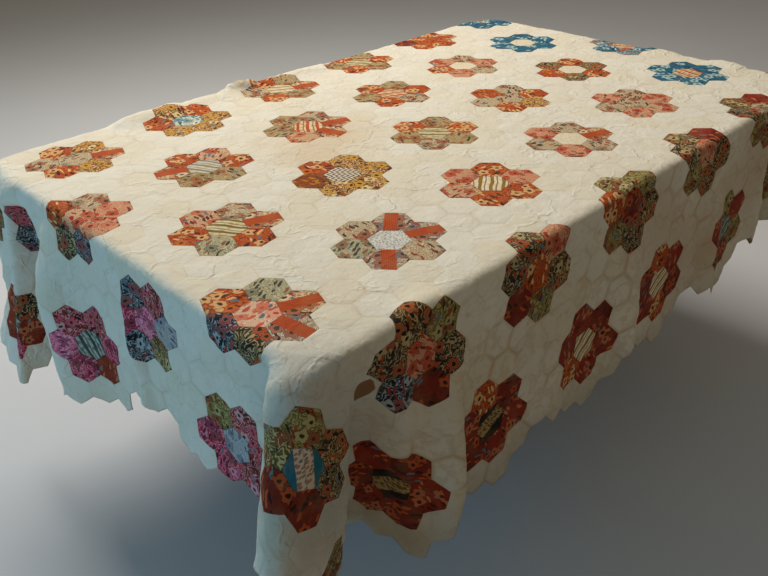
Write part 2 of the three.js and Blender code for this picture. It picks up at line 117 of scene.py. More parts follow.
# Flutes down the sides, placed from each side's middle
Flute = namedtuple("Flute", "side at before after depth starts full drift")
FLUTES = (
    Flute(0, -655, 40, 45, 9, 20, 90, 0.02),
    Flute(0, -518, 75, 52, 60, 8, 400, -0.112),
    Flute(0, -270, 90, 90, 16, 40, 360, 0.02),
    Flute(0, 10, 80, 60, 34, 20, 380, -0.05),
    Flute(0, 330, 90, 70, 30, 20, 360, 0.03),
    Flute(0, 560, 60, 60, 26, 30, 340, 0.05),
    Flute(1, -190, 70, 80, 40, 15, 380, -0.04),
    Flute(1, 150, 80, 60, 34, 25, 360, 0.05),
    Flute(2, -430, 80, 70, 44, 10, 340, -0.06),
    Flute(2, -90, 90, 90, 26, 25, 330, 0.03),
    Flute(2, 230, 65, 80, 46, 10, 340, 0.04),
    Flute(2, 520, 60, 60, 28, 25, 320, 0.05),
    Flute(3, -248, 55, 134, 62, 6, 233, 0),
    Flute(3, 42, 20, 22, 22, 10, 150, 0.02),
    Flute(3, 230, 90, 90, 12, 40, 300, 0),
)

# Lobes at the corners, and the tucks beside them with a share below 0
Lobe = namedtuple("Lobe", "corner at before after aim share bluntness starts full")
LOBES = (
    Lobe(0, -20, 64, 60, 38, 1, 0.6, -1, 0),
    Lobe(0, -150, 60, 66, 20, -0.36, 1, 45, 190),
    Lobe(0, 120, 62, 70, 80, -0.32, 1, 45, 190),
    Lobe(1, -62, 50, 46, 24, 0.8, 0.7, -1, 0),
    Lobe(1, 0, 30, 30, 45, -0.2, 1, 45, 220),
    Lobe(1, 60, 46, 50, 70, 1, 0.7, -1, 0),
    Lobe(2, -13, 56, 52, 16, 1.15, 0.6, -1, 0),
    Lobe(2, 103, 50, 50, 84, 0.52, 0.7, -1, 0),
    Lobe(2, 135, 40, 32, 87, -0.96, 0.8, 40, 100),
    Lobe(3, 1, 55, 38, 17.5, 1, 0.36, -1, 0),
    Lobe(3, 90, 35, 55, 85, -0.6, 1, 8, 158),
)
LOBE_WIDENING = 0.0009
CORNER_GIVE = 0.16
GIVE_DROP = 170


def linear(code):
    """A colour as Blender wants it, from its six hexadecimal digits."""
    parts = [int(code[i:i + 2], 16) / 255 for i in (0, 2, 4)]
    return tuple(c / 12.92 if c <= 0.04045 else ((c + 0.055) / 1.055) ** 2.4 for c in parts)


# The printed cloths, with their ground, figure, accent and outline, and the share of a plain bar
INKS = ("ground", "figure", "accent", "line")
Print = namedtuple("Print", "pattern inks share", defaults=(0,))
PRINTS = {
    "speck": Print("specks", "dcd9cd 5c6f7c 9a5a4a 39414d"),
    "sprig": Print("flowers", "d0ba94 96431f 8d6a50 40302c"),
    "sprig_bar": Print("flowers", "cfbd9c 9a4a2a 7c5a58 3a2e34", 0.42),
    "rust": Print("flowers", "a83e0c dcae74 c8601c 401c0e"),
    "rust_bar": Print("flowers", "c09468 a2380c d9c09a 42281c", 0.45),
    "red_leaf": Print("flowers", "d2b690 a82c0e c45a28 5c1e12"),
    "tan": Print("flowers", "bda173 9c4716 8a7446 3e3026"),
    "grey_cream": Print("flowers", "c3b790 8a5434 77755c 3a3a34"),
    "pink": Print("flowers", "d3a27c b4340e c66a4c 6e2a1c"),
    "pink_swirl": Print("flowers", "e0c6a8 c8583c dc9478 b04c38"),
    "ochre": Print("flowers", "92500c c88e1e e0c890 4c2408"),
    "ochre_dark": Print("flowers", "7a4208 b87614 a83e0c 38190a"),
    "dark": Print("flowers", "3a2c1c a8380e bca474 14100c"),
    "dark_red": Print("flowers", "84230c b8501e 5c1e0c 2a0f08"),
    "brown": Print("flowers", "4e3216 a84c18 c0a870 1c120a"),
    "brick": Print("flowers", "94280c c07048 7c2008 4a1606"),
    "wine": Print("flowers", "981a16 c8485a d09a9c 340c10"),
    "rose": Print("flowers", "c42e48 741a28 d88ca0 5a1428"),
    "orchid": Print("flowers", "e0647e 94304c e0a0b0 7a2c50"),
    "night": Print("flowers", "222c34 8c3030 a4acac 0c1218"),
    "moss": Print("flowers", "6c5a28 8a2e14 c4b07c 2c2812"),
    "olive": Print("flowers", "7c6c34 8c2c14 b0a068 302c18"),
    "teal": Print("flowers", "1f6b84 b0ccc8 164a68 0e3040"),
    "teal_red": Print("flowers", "2a6c84 b0481c c8d0c0 143648"),
    "olive_stripe": Print("stripes", "d8c8a0 76602a c0a878 52442a"),
    "ochre_stripe": Print("stripes", "e2d4b6 8e6a20 d8bc92 5e3f20"),
    "rust_stripe": Print("stripes", "dcc49c b4460e c89868 5e2c14"),
    "grey_stripe": Print("stripes", "cfc5ac 847c6c bdb194 5e574c"),
    "black_stripe": Print("stripes", "b08a50 20180f 92683a 14100c"),
    "plain_cream": Print("specks", "e2d6bc d2bc94 d0a87c b9a88c"),
    "pale_grey": Print("flowers", "b4b4ac 6c7484 948c94 4a4e5c"),
    "slate_stripe": Print("stripes", "a8aca0 3a4438 6c7468 1c2220"),
    "leaf_stripe": Print("leaves", "ccb8a0 a8705c 1c6070 84705c"),
    "pale_teal": Print("flowers", "bcc4b0 2c7c88 dcd4c0 3c5a60"),
    "black_band": Print("leaves", "a4844e 6c5430 1c150e 3c2c18"),
    "chevron": Print("chevrons", "e0d6c2 5a2814 d0bea4 381a10"),
}

# The prints of each flower of patches: its middle, then its six petals from the right-hand one, and
# round by the far one, and how many degrees a striped middle is turned
Flower = namedtuple("Flower", "middle petals turn", defaults=(None,))
FLOWERS = {
    (0, 0): Flower("speck", "sprig_bar sprig_bar sprig grey_cream sprig_bar sprig"),
    (0, 1): Flower("chevron", "ochre ochre rust ochre_dark ochre ochre", 47),
    (-1, 1): Flower("olive_stripe", "rust_bar sprig red_leaf rust grey_cream rust", 37),
    (-1, 0): Flower("pink_swirl", "rust_bar grey_cream rust night dark sprig_bar"),
    (1, 0): Flower("ochre_stripe", "pink rust pink red_leaf rust rust", -47),
    (0, 2): Flower("rust_stripe", "rust_bar sprig tan tan red_leaf rust_bar"),
    (1, 1): Flower("olive_stripe", "rust tan rust tan sprig tan", 34),
    (-1, 2): Flower("grey_stripe", "rust red_leaf rust rust_bar tan tan", 20),
    (-1, 3): Flower("pale_teal", "ochre rust ochre rust ochre ochre"),
    (1, 2): Flower("rust_stripe", "rust tan rust tan rust sprig"),
    (2, 0): Flower("plain_cream", "rust_bar sprig pink sprig pink sprig"),
    (2, 1): Flower("sprig", "rust sprig rust sprig rust ochre"),
    (0, 3): Flower("ochre_stripe", "rust_bar tan rust sprig rust tan"),
    (3, 0): Flower("sprig", "pink sprig pink sprig pink red_leaf"),
    (3, 1): Flower("plain_cream", "brown rust brown rust brown rust"),
    (2, 2): Flower("plain_cream", "pink sprig pink rust pink sprig"),
    (1, 3): Flower("olive_stripe", "rust tan rust tan rust tan"),
    (2, 3): Flower("rust", "rust_bar rust rust dark_red rust rust"),
    (3, 2): Flower("plain_cream", "teal teal teal teal teal teal"),
    (3, 3): Flower("teal_red", "teal teal teal teal teal teal"),
    (4, 0): Flower("rust_stripe", "teal teal teal teal teal teal"),
    (4, 1): Flower("rust_stripe", "teal_red teal teal_red teal teal_red teal"),
    (-2, 3): Flower("sprig", "rust_bar ochre rust sprig rust ochre"),
    (-2, 2): Flower("red_leaf", "pink sprig rust dark night pink"),
    (-2, 1): Flower("orchid", "wine night rose night moss pale_grey"),
    (-2, 0): Flower("pale_grey", "wine olive rose rose wine wine"),
    (-3, 2): Flower("slate_stripe", "wine wine orchid rose brick rose", -64),
    (-3, 3): Flower("slate_stripe", "night wine night rose wine moss", 50),
    (-4, 4): Flower("slate_stripe", "wine brick brick rose brick dark", -50),
    (-1, -1): Flower("leaf_stripe", "brown olive moss dark_red dark_red dark", -42),
    (0, -1): Flower("pink", "dark olive brown dark night dark_red"),
    (1, -1): Flower("rust", "brown pink dark dark dark_red olive"),
    (2, -1): Flower("dark_red", "brown olive moss rust olive dark"),
    (3, -1): Flower("pink", "brown brick brown dark olive brown"),
    (4, -1): Flower("sprig", "brown brick brown dark olive brown"),
    (0, -2): Flower("black_band", "brick dark_red brick dark_red brick dark_red", -80),
    (1, -2): Flower("black_band", "brick dark_red rust brick dark_red brick", -60),
    (2, -2): Flower("ochre_stripe", "brick dark_red brick brick rust brick", -45),
    (3, -2): Flower("ochre_stripe", "dark_red brick rust dark_red brick rust", -45),
    (4, -2): Flower("slate_stripe", "olive brick olive brick dark brick", -45),
    (5, -2): Flower("olive", "olive moss dark olive moss olive"),
}
OTHER_FLOWERS = (
    Flower("black_stripe", "brown dark_red brown rust dark brown"),
    Flower("pale_grey", "wine olive rose dark olive wine"),
    Flower("plain_cream", "rust tan rust sprig rust_bar tan"),
    Flower("pink", "dark olive dark_red dark brown olive"),
)
PETALS = ((1, 0), (0, 1), (-1, 1), (-1, 0), (0, -1), (1, -1))

# Fineness of the cloth: where the rings of spots lie from a patch's middle, at 0, to its seam, at 1
RING_INSETS = (0.36, 0.66, 0.89, 1)

# Creases given one by one, in millimetres on the flat cloth from the table's middle
Crease = namedtuple("Crease", "from_x from_y to_x to_y width height")
CREASES = (
    Crease(-530, 500, -350, 496, 70, 17),
    Crease(-400, 505, -180, 500, 64, 9),
    Crease(-235, 508, -60, 500, 44, 11),
    Crease(-212, 514, -130, 502, 17, 15),
    Crease(-90, 505, 110, 500, 60, 9),
    Crease(800, -60, 800, -170, 50, 6),
    Crease(800, -250, 796, -350, 50, 9),
    Crease(-640, -516, -545, -518, 48, 8),
    Crease(-120, -180, 260, -140, 16, 1.2),
    Crease(-420, 120, -60, 60, 14, 1),
    Crease(180, 220, 560, 140, 16, 1.2),
)

# Stains that stand out and broad patches of painted shade, in millimetres on the flat cloth, with the
# share of the radius that is full
StainOrShade = namedtuple("StainOrShade", "x y radius core strength code")
SMALL_STAIN = 40
STAINS_AND_SHADE = (
    StainOrShade(-300, 60, 170, 0.1, 0.34, "c9a26c"),
    StainOrShade(-190, 120, 120, 0.1, 0.3, "c9a26c"),
    StainOrShade(-172, 520, 34, 0.5, 0.6, "ac9464"),
    # Down the near long side, broad stains that are partly real stains and partly painted shade, darkening
    # and warming that side
    StainOrShade(-560, -760, 260, 0.1, 0.3, "a88a56"),
    StainOrShade(-250, -700, 240, 0.1, 0.26, "b09560"),
    StainOrShade(60, -640, 200, 0.1, 0.34, "a97c42"),
    StainOrShade(270, -760, 260, 0.1, 0.36, "a87a40"),
    StainOrShade(520, -640, 210, 0.1, 0.4, "a4763c"),
    StainOrShade(760, -760, 240, 0.1, 0.24, "b09560"),
    # Painted shade: a broad blue-grey patch that darkens the near corner's lobe
    StainOrShade(-880, -640, 300, 0.2, 0.55, "8c8c82"),
    # A small brown stain beside the lobe
    StainOrShade(-712, -620, 25, 0.85, 0.94, "7c4e1a"),
)

# The cloth's relief. Noise is given by the size of its features in millimetres and by its seed
NOISE_WAVES = 9
WAVE_SIZES = (0.8, 1.9)
BROAD_WRINKLES = (75, 11)
SMALL_WRINKLES = (34, 12)
TOP_SWELLS = (60, 13)
LONG_CREASES = (130, 14)
SHORT_CREASES = (84, 15)
WRINKLED_AREAS = (240, 16)
BROAD_SHARE = 0.6
AREAS_WIDER = 0.6
LONG_CREASE_WIDTH = 0.2
SHORT_CREASE_WIDTH = 0.22
SHORT_CREASE_SHARE = 0.8
CREASES_ON_TOP = 0.28
CREASES_HANGING = 0.5
TOP_SWELL = 0.5
PUFF_SEED = 5
PUFF_SHARES = (0.5, 1.3)
PUFF_POWER = 4
KEYS_PER_MM = 20

# Drops below the table's edge, in millimetres, where the cloth begins to hang and where it hangs
# freely, where its back begins to follow the relief and follows it, and how far inside the edge a
# patch has a plain back
HANGING = (-6, 54)
RAISED_BACK = (-20, 10)
PLAIN_BACK = 20

# How the patches were cut from the printed cloth, in metres and radians, and how the plain ones differ
CUT_SEED = 21
CLOTH_REACH = 3
CUT_SLIP = 0.004
CUT_TURN = 0.12
TINT_POWER = 2
DEEPEST_TINT = 0.6

# Soft patches of noise: how fine they are, and the levels where they begin and are full
Patches = namedtuple("Patches", "per_metre detail rough low high")
PATCHES = {
    "seam_stain": Patches(8.0, 3.0, 0.5, 0.46, 0.64),
    "blotch": Patches(3.4, 5.0, 0.62, 0.5, 0.78),
    "mottle": Patches(46.0, 5.0, 0.7, 0.48, 0.8),
    "uneven_seam": Patches(20.0, 3.0, 0.5, 0.38, 0.66),
    "broken": Patches(11.0, 2.0, 0.5, 0.4, 0.6),
    "stripe_ground": Patches(90.0, 2.0, 0.5, 0.45, 0.6),
    "faded": Patches(26.0, 3.0, 0.5, 0.4, 0.75),
}

# How far lines and edges wander, in metres, and how often in a metre
Wander = namedtuple("Wander", "reach per_metre")
WANDERS = {
    "tide": Wander(0.05, 14.0),
    "mottle": Wander(0.03, 30.0),
    "crumple": Wander(0.03, 9.0),
    "fold": Wander(0.05, 7.0),
    "broad_stain_and_shade": Wander(0.03, 24.0),
    "small_stain": Wander(0.009, 60.0),
    "stems": Wander(0.014, 42.0),
    "stripes": Wander(0.009, 22.0),
    "fronds": Wander(0.01, 40.0),
}

# Marks of age: the share of each on the table's top, and how much more of it where the cloth hangs, which
# is partly painted shade on the hanging sides
MarkAndShade = namedtuple("MarkAndShade", "on_top hanging")
SEAM_MARK = MarkAndShade(0.18, 0.36)
BLOTCH_MARK = MarkAndShade(0.14, 0.36)
MOTTLE_MARK = MarkAndShade(0.12, 0.5)
TIDE_MARK = MarkAndShade(0.08, 0.22)
SEAM_LINE = MarkAndShade(0.26, 0.1)

# Colours of age, of seams, of the painted shade at the near hem and of the cloth's back
YELLOWED_COTTON = "ddd0b4"
# Painted shade at the bottom of the near long side
HEM_SHADE_COLOUR = "7e7254"
COTTON_SEAM_LINE = "8d7758"
BACK_PATCHES = "b39c74"
BACK_TURNINGS = "8f7850"
GREY_LEAVES = "5c7078"
FADED_PRINT = "c9a878"
PRINT_SEAM_LINE = "3a2a1e"

# Where marks, painted light and painted shade lie: insets from 0 at a patch's middle to 1 at its seam, and
# places in metres
SEAM_STAIN_FROM = 0.7
TIDE_NOISE = (5.5, 5.0, 0.6)
TIDE_RIM = (0.028, 0.004)
# Painted light: fewer stains down the near short side, where the cool lamp falls, lighten that side
COOL_SIDE_ALONG = (-0.79, -0.85)
COOL_SIDE_ACROSS = (-0.52, -0.44)
COOL_SIDE_SHARE = 0.62
# Painted shade: the cloth darkens towards the bottom of the near long side, from 0.8 m to 1 m out from the
# table's middle
HEM_SHADE_RANGE = (-0.8, -1.0)
HEM_SHADE_SHARE = 0.5
COTTON_SEAM = (0.968, 0.995)
COTTON_NOISE = (12.0, 4.0)
COTTON_SHADE = 0.9
BACK_NOISE = (10.0, 3.0)
SEAM_TURNING = (0.78, 0.82)
TURNING_SHARE = 0.35
PRINT_SEAM = (0.965, 0.995)
PRINT_SEAM_SHARE = 0.55
FADED_SHARE = 0.1

# The cloth's fine relief, as shares of the depth of its finish
CRUMPLE_NOISE = (34.0, 6.0, 0.68)
FOLD_NOISE = (15.0, 3.0)
FOLD_WIDTH = 0.045
CREASE_HEIGHT = 0.34
THREADS_PER_METRE = 260.0
THREAD_HEIGHT = 0.03
DITCH_FROM = 0.93
DITCH_DEPTH = 0.06

# How each material takes the light, with the depth of its relief in metres
Finish = namedtuple("Finish", "roughness depth sheen", defaults=(0.0,))
COTTON_FINISH = Finish(0.9, 0.004, 0.05)
BACK_FINISH = Finish(0.93, 0.0009)
PRINT_FINISH = Finish(0.88, 0.003)
WOOD_FINISH = Finish(0.5, 0.0006)
FLOOR_FINISH = Finish(0.8, 0.0002)
SPECULAR = 0.25
SHEEN_ROUGHNESS = 0.5

# The florals. A pair says where a share begins and where it is full
Leaf = namedtuple("Leaf", "angle per_metre stretch size")
FLOWER_LEAF = Leaf(0.7, 130.0, 0.34, 0.4)
FROND = Leaf(0.9, 190.0, 0.5, 0.42)
LEAF_EDGE = 0.78
LEAVES_SHOWN = (0.5, 0.55)
HALF_OF_LEAVES = (0.5, 0.54)
FEW_LEAVES = (0.9, 0.92)
STEM_NOISE = (44.0, 2.0)
STEM_BEAT = 0.05
STEM_FILL = (0.03, 0.036)
STEM_FILL_SHARE = 0.8
STEM_LINE = (0.011, 0.006)
STEM_LINE_SHARE = 0.75
BLOSSOMS_PER_METRE = 36.0
BLOSSOM_PETALS = 5.0
BLOSSOM_SIZE = 0.4
PETAL_WAVE = 0.2
HEART_SHARES = (0.36, 0.3)
BLOSSOMS_SHOWN = (0.42, 0.46)
ACCENT_BLOSSOMS = (0.72, 0.76)
RING_BEAT = 0.06
RING = (0.036, 0.05)
RING_SHARE = 0.7
BLOSSOM_OUTLINE = (-0.05, -0.02)
OUTLINE_SHARE = 0.8
BLOSSOM_EDGE = (-0.01, 0.02)
BARS_PER_METRE = 17.0
BAR_COLOUR = "b8480f"
BAR_LINES_PER_METRE = 300.0
BAR_LINE = (0.4, 0.7)
BAR_LINE_SHARE = 0.35

# The stripes, bands, specks and chevrons
STRIPES_PER_METRE = 46.0
BROAD_STRIPE = ((0.1, 0.14), (0.46, 0.42))
THIN_STRIPE = ((0.64, 0.67), (0.78, 0.75))
THIN_STRIPE_SHARE = 0.8
BAND_WAVES_PER_METRE = 40.0
BAND_WAVE = 0.003
BAND_EDGE = (0.015, 0.0165)
BAND_LINE = (0.0008, 0.0002)
HALF_OF_FRONDS = (0.5, 0.55)
SPECKS_PER_METRE = 230.0
SPECK_EDGE = (0.36, 0.26)
SPECKS_SHOWN = (0.3, 0.35)
ACCENT_SPECKS = (0.6, 0.65)
SPECK_SHARE = 0.8
SPECK_GROUND_PER_METRE = 60.0
SPECK_GROUND_SHARE = 0.25
CHEVRONS_PER_METRE = 95.0
CHEVRON_WIDTH = 0.009
CHEVRON_SLOPE = 1.3
CHEVRON_BAND = ((0.3, 0.36), (0.8, 0.74))
CHEVRON_GROUND_PER_METRE = 120.0
CHEVRON_TONES_PER_METRE = 200.0

# The wood
GRAIN_STRETCH = (1.2, 14.0, 14.0)
GRAIN_WAVE = {"Scale": 1.4, "Distortion": 5.0, "Detail": 3.0}
PORE_NOISE = (30.0, 4.0, 0.7)
RING_PART = 0.6
WOOD_SHADE = 0.5

# The stage, in metres and degrees. The lamps have places of their own, and the camera stands from the
# table's middle and above the floor
Lamp = namedtuple("Lamp", "name colour size place")
LAMPS = (
    Lamp("key", (1.0, 0.955, 0.88), 1.8, (0.2, 1.9, 3.3)),
    Lamp("cool", (0.05, 0.56, 1.0), 2.4, (-4.0, 0.5, 1.5)),
)
LAMP_AIM = (0, 0, 0.6)
SKY_COLOUR = (1.0, 0.9, 0.7, 1.0)
SKY_STRENGTH = 0.2
FLOOR_REACH = 14
FLOOR_NOISE = (2.0, 3.0)
FLOOR_SPOTS_PER_METRE = 40.0
FLOOR_LIGHTER = 1.06
CAMERA_FROM_TABLE = (-1.295, -1.2)
CAMERA_HEIGHT = 1.398
CAMERA_AZIMUTH = 46.955
CAMERA_DOWN = 31.61
CAMERA_ROLL = -1.93
SENSOR_WIDTH = 36


class QuiltSizes(bpy.types.PropertyGroup):
    thickness: FloatProperty(
        name="Cloth thickness", description="Thickness of the pieced cotton",
        default=0.0012, min=0.0004, max=0.003, unit="LENGTH",
    )
    puff: FloatProperty(
        name="Puff", description="How far a patch stands up between its seams",
        default=0.0006, min=0, max=0.004, unit="LENGTH",
    )
    wrinkle: FloatProperty(
        name="Wrinkle", description="Height of the soft wrinkles down the sides",
        default=0.0024, min=0, max=0.008, unit="LENGTH",
    )


class QuiltColours(bpy.types.PropertyGroup):
    cotton: FloatVectorProperty(
        name="Cotton", description="Colour of the plain patches",
        default=linear("e8e0cf"), size=3, subtype="COLOR",
    )
    foxing: FloatVectorProperty(
        name="Foxing", description="Colour of the age stains along seams",
        default=linear("b58c5a"), size=3, subtype="COLOR",
    )
    back: FloatVectorProperty(
        name="Back", description="Colour of the cloth's wrong side",
        default=linear("c9b48e"), size=3, subtype="COLOR",
    )
    wood: FloatVectorProperty(
        name="Wood", description="Colour of the table",
        default=linear("8a5e38"), size=3, subtype="COLOR",
    )


class QuiltStage(bpy.types.PropertyGroup):
    lens: FloatProperty(
        name="Lens", description="Focal length in millimetres", default=37.84, min=10, max=200,
    )
    key_power: FloatProperty(
        name="Key light", description="Power of the soft light above", default=115, min=0, subtype="POWER",
    )
    cool_power: FloatProperty(
        name="Cool light", description="Power of the cool light at the left", default=46, min=0,
        subtype="POWER",
    )
    floor: FloatVectorProperty(
        name="Floor", description="Colour of the floor", default=linear("c4c4c6"), size=3, subtype="COLOR",
    )


def smooth(t):
    c = np.clip(t, 0, 1)
    return c * c * (3 - 2 * c)


def risen(value, start, full):
    """0 up to the start, 1 from the full value on, and smooth between."""
    return smooth((value - start) / (full - start))


def side_points(side, place, distance):
    """Spots at a distance from the straight of a side."""
    out = side.offset + distance
    return np.stack([
        side.along[0] * place + side.out[0] * out,
        side.along[1] * place + side.out[1] * out,
    ], -1)


def corner_points(index, angle, radius):
    """Spots round the middle of a corner's round."""
    before = SIDES[index]
    after = SIDES[(index + 1) % 4]
    middle = side_points(before, before.half, 0)
    first = np.multiply.outer(np.cos(angle) * radius, before.out)
    last = np.multiply.outer(np.sin(angle) * radius, after.out)
    return middle + first + last


def bump(distance, before, after, bluntness):
    """How far out a fold of the given half widths stands at a distance from its middle."""
    x = np.where(distance < 0, -distance / before, distance / after)
    inside = np.cos(np.minimum(x, 1) * math.pi / 2).clip(0)
    return np.where(x >= 1, 0, inside ** bluntness)


def flute_shift(index, place, drop):
    """How far the flutes of one side push spots along it outwards."""
    out = np.zeros_like(place)
    for flute in FLUTES:
        if flute.side == index:
            depth = flute.depth * risen(drop, flute.starts, flute.full)
            out += depth * bump(place - flute.at - flute.drift * drop, flute.before, flute.after, 2)
    return np.multiply.outer(out, SIDES[index].out)


def lobe_shift(index, distance, drop, amount):
    """How far the lobes and tucks of one corner push spots round it outwards."""
    before = np.array(SIDES[index].out)
    after = np.array(SIDES[(index + 1) % 4].out)
    shift = np.zeros((len(distance), 2))
    for lobe in LOBES:
        if lobe.corner == index:
            aim = math.radians(lobe.aim)
            wide = 1 + LOBE_WIDENING * drop
            height = bump((distance - lobe.at) / wide, lobe.before, lobe.after, lobe.bluntness)
            begun = risen(drop, lobe.starts, lobe.full)
            out = amount * lobe.share * begun * height
            shift += np.multiply.outer(out, before * math.cos(aim) + after * math.sin(aim))
    return shift


def evenly(line):
    """The line's points again, at equal steps along it."""
    lengths = lengths_along(line)
    count = math.ceil(lengths[-1] / CURVE_STEP)
    at = np.linspace(0, lengths[-1], count + 1)
    return np.stack([np.interp(at, lengths, line[:, axis]) for axis in (0, 1)], -1)


def lengths_along(line):
    steps = np.hypot(*np.diff(line, axis=0).T)
    return np.concatenate([[0], np.cumsum(steps)])


def plan_line(index, drop, amount):
    """The cloth's line in plan at one drop, from the anchor of a side round its corner to the next one."""
    before = SIDES[index]
    after = SIDES[(index + 1) % 4]
    reach = ROLL_CORNER_RADIUS + ROLL_RADIUS * math.sin(min(drop / ROLL_RADIUS, math.pi / 2))
    start = before.anchor + before.slip * drop - before.half
    end = ARC_LENGTH + after.half + after.anchor + after.slip * drop
    place = np.linspace(start, end, math.ceil((end - start) / ROUGH_STEP) + 1)
    first = place + before.half
    last = place - ARC_LENGTH - after.half
    line = corner_points(index, place / MID_CORNER_RADIUS, reach)
    straight = side_points(before, first, reach) + flute_shift(index, first, drop)
    line = np.where((place < 0)[:, None], straight, line)
    straight = side_points(after, last, reach) + flute_shift((index + 1) % 4, last, drop)
    line = np.where((place > ARC_LENGTH)[:, None], straight, line)
    line = evenly(line + lobe_shift(index, place - ARC_LENGTH / 2, drop, amount))
    for _ in range(SOFTEN_PASSES):
        line[1:-1] = (line[:-2] + 2 * line[1:-1] + line[2:]) / 4
    return line


def fan_length(drop, angle):
    """The length of a line of the cloth round a corner, which gives a little on the bias."""
    return (ROLL_CORNER_RADIUS + drop) * angle * (1 - CORNER_GIVE * smooth(drop / GIVE_DROP))


def fitted_line(index, drop):
    """The line whose lobes take up the cloth between two anchors, its lengths and the flat length."""
    before = SIDES[index]
    after = SIDES[(index + 1) % 4]
    flat = before.half - before.anchor + fan_length(drop, math.pi / 2) + after.half + after.anchor
    low = 0
    high = DEEPEST_LOBE
    for _ in range(FITTING_STEPS):
        amount = (low + high) / 2
        if lengths_along(plan_line(index, drop, amount))[-1] < flat:
            low = amount
        else:
            high = amount
    line = plan_line(index, drop, (low + high) / 2)
    return line, lengths_along(line), flat


def lengths_ahead(index, drop):
    """How far along the flat cloth the stations of a side and its corner lie ahead of its anchor."""
    side = SIDES[index]
    count = round(2 * side.half / SIDE_STEP)
    place = np.linspace(-side.half, side.half, count, endpoint=False)
    angle = np.linspace(0, math.pi / 2, CORNER_STEPS, endpoint=False)
    return np.concatenate([place - side.anchor, side.half - side.anchor + fan_length(drop, angle)])


def drape_table():
    """For each drop and station, where that spot of the flat cloth hangs."""
    roll_length = ROLL_RADIUS * math.pi / 2
    levels = [roll_length * i / ROLL_STEPS for i in range(ROLL_STEPS)]
    levels += list(np.arange(roll_length, HANG_DEPTH, LEVEL_STEP))
    rows = []
    for drop in levels:
        lines = [fitted_line(index, drop) for index in range(4)]
        row = []
        for index in range(4):
            ahead = lengths_ahead(index, drop)
            line, lengths, flat = lines[index]
            before, before_lengths, before_flat = lines[index - 1]
            share = np.where(ahead >= 0, ahead / flat, 0) * lengths[-1]
            share_before = np.where(ahead < 0, 1 + ahead / before_flat, 0) * before_lengths[-1]
            here = [np.interp(share, lengths, line[:, axis]) for axis in (0, 1)]
            there = [np.interp(share_before, before_lengths, before[:, axis]) for axis in (0, 1)]
            row.append(np.where(ahead >= 0, here, there).T)
        rows.append(np.concatenate(row))
    heights = [np.full(len(rows[0]), TOP_LEVEL)]
    for k in range(1, len(levels)):
        step = levels[k] - levels[k - 1]
        across = np.minimum(np.hypot(*(rows[k] - rows[k - 1]).T), step)
        down = np.maximum(np.sqrt(step * step - across * across), STEEPEST * step)
        heights.append(heights[-1] - down)
    return np.array(levels), np.concatenate([np.array(rows), np.array(heights)[..., None]], -1)


def locate(spots):
    """The station and the drop of each spot of the flat cloth. The drop is below 0 on the table's top."""
    u, v = spots.T
    station = np.zeros(len(u))
    drop = np.full(len(u), FAR_INSIDE)
    start = 0
    for side in SIDES:
        count = round(2 * side.half / SIDE_STEP)
        place = u * side.along[0] + v * side.along[1]
        out = u * side.out[0] + v * side.out[1] - side.offset
        straight = np.abs(place) <= side.half
        reached = straight & (out - ROLL_CORNER_RADIUS > drop)
        station = np.where(reached, start + (place + side.half) / (2 * side.half) * count, station)
        drop = np.where(reached, out - ROLL_CORNER_RADIUS, drop)
        ahead = place - side.half
        round_part = (out >= 0) & (ahead > 0)
        angle = np.arctan2(ahead, out)
        station = np.where(round_part, start + count + angle / (math.pi / 2) * CORNER_STEPS, station)
        drop = np.where(round_part, np.hypot(ahead, out) - ROLL_CORNER_RADIUS, drop)
        start += count + CORNER_STEPS
    return station, drop


def drape(spots, levels, table):
    """Where spots of the flat cloth lie in space, in millimetres from the middle of the board's top."""
    station, drop = locate(spots)
    k = np.clip(np.searchsorted(levels, drop, side="right") - 1, 0, len(levels) - 2)
    s = ((drop - levels[k]) / (levels[k + 1] - levels[k]))[:, None]
    j = np.floor(station).astype(int)
    t = (station - j)[:, None]
    j = j % table.shape[1]
    next_j = (j + 1) % table.shape[1]
    high = table[k, j] * (1 - t) + table[k, next_j] * t
    low = table[k + 1, j] * (1 - t) + table[k + 1, next_j] * t
    hung = high * (1 - s) + low * s
    flat = np.concatenate([spots, np.full((len(spots), 1), TOP_LEVEL)], 1)
    return np.where((drop <= 0)[:, None], flat, hung), drop


def quilt_cells():
    """The hexagons' middles along the quilt's rows, with each one's block and its place in the block."""
    cells = []
    for row in BLOCK_ROWS:
        first = EVEN_ROW_START if row % 2 == 0 else ODD_ROW_START
        for n in range(BLOCKS_IN_ROW):
            block = (round(first + n - row / 2), row)
            for q in range(-BLOCK_RINGS, BLOCK_RINGS + 1):
                for r in range(max(0, -q) - BLOCK_RINGS, BLOCK_RINGS - max(0, q) + 1):
                    along = HEXAGON_PITCH * np.array([q + r / 2, r * math.sqrt(3) / 2])
                    middle = BLOCK_PITCH * np.array([first + n, row * math.sqrt(3) / 2])
                    x, y = middle + turned(along, LATTICE_ANGLE)
                    near = [trim.line for trim in NEAR_TRIMS if y >= trim.since * BLOCK_PITCH][-1]
                    if near * BLOCK_PITCH < x < FAR_TRIM * BLOCK_PITCH:
                        printed = PRINTED_FROM < first + n < PRINTED_TO
                        cells.append((x, y, block, (q, r), printed))
    return cells


def turned(points, angle):
    points = np.asarray(points)
    x = points[..., 0] * math.cos(angle) - points[..., 1] * math.sin(angle)
    y = points[..., 0] * math.sin(angle) + points[..., 1] * math.cos(angle)
    return np.stack([x, y], -1)


def print_of(block, place, printed):
    """The name of a patch's print, or None for a plain one, and how it is turned where that matters."""
    if not printed or max(abs(place[0]), abs(place[1]), abs(sum(place))) > 1:
        return None, None
    flower = FLOWERS.get(block, OTHER_FLOWERS[(block[0] * 3 + block[1]) % len(OTHER_FLOWERS)])
    if place == (0, 0):
        return flower.middle, flower.turn
    petal = PETALS.index(place)
    name = flower.petals.split()[petal]
    if PRINTS[name].share:
        return name, math.degrees(LATTICE_ANGLE + QUILT_TURN) + 60 * petal + 90
    return name, None


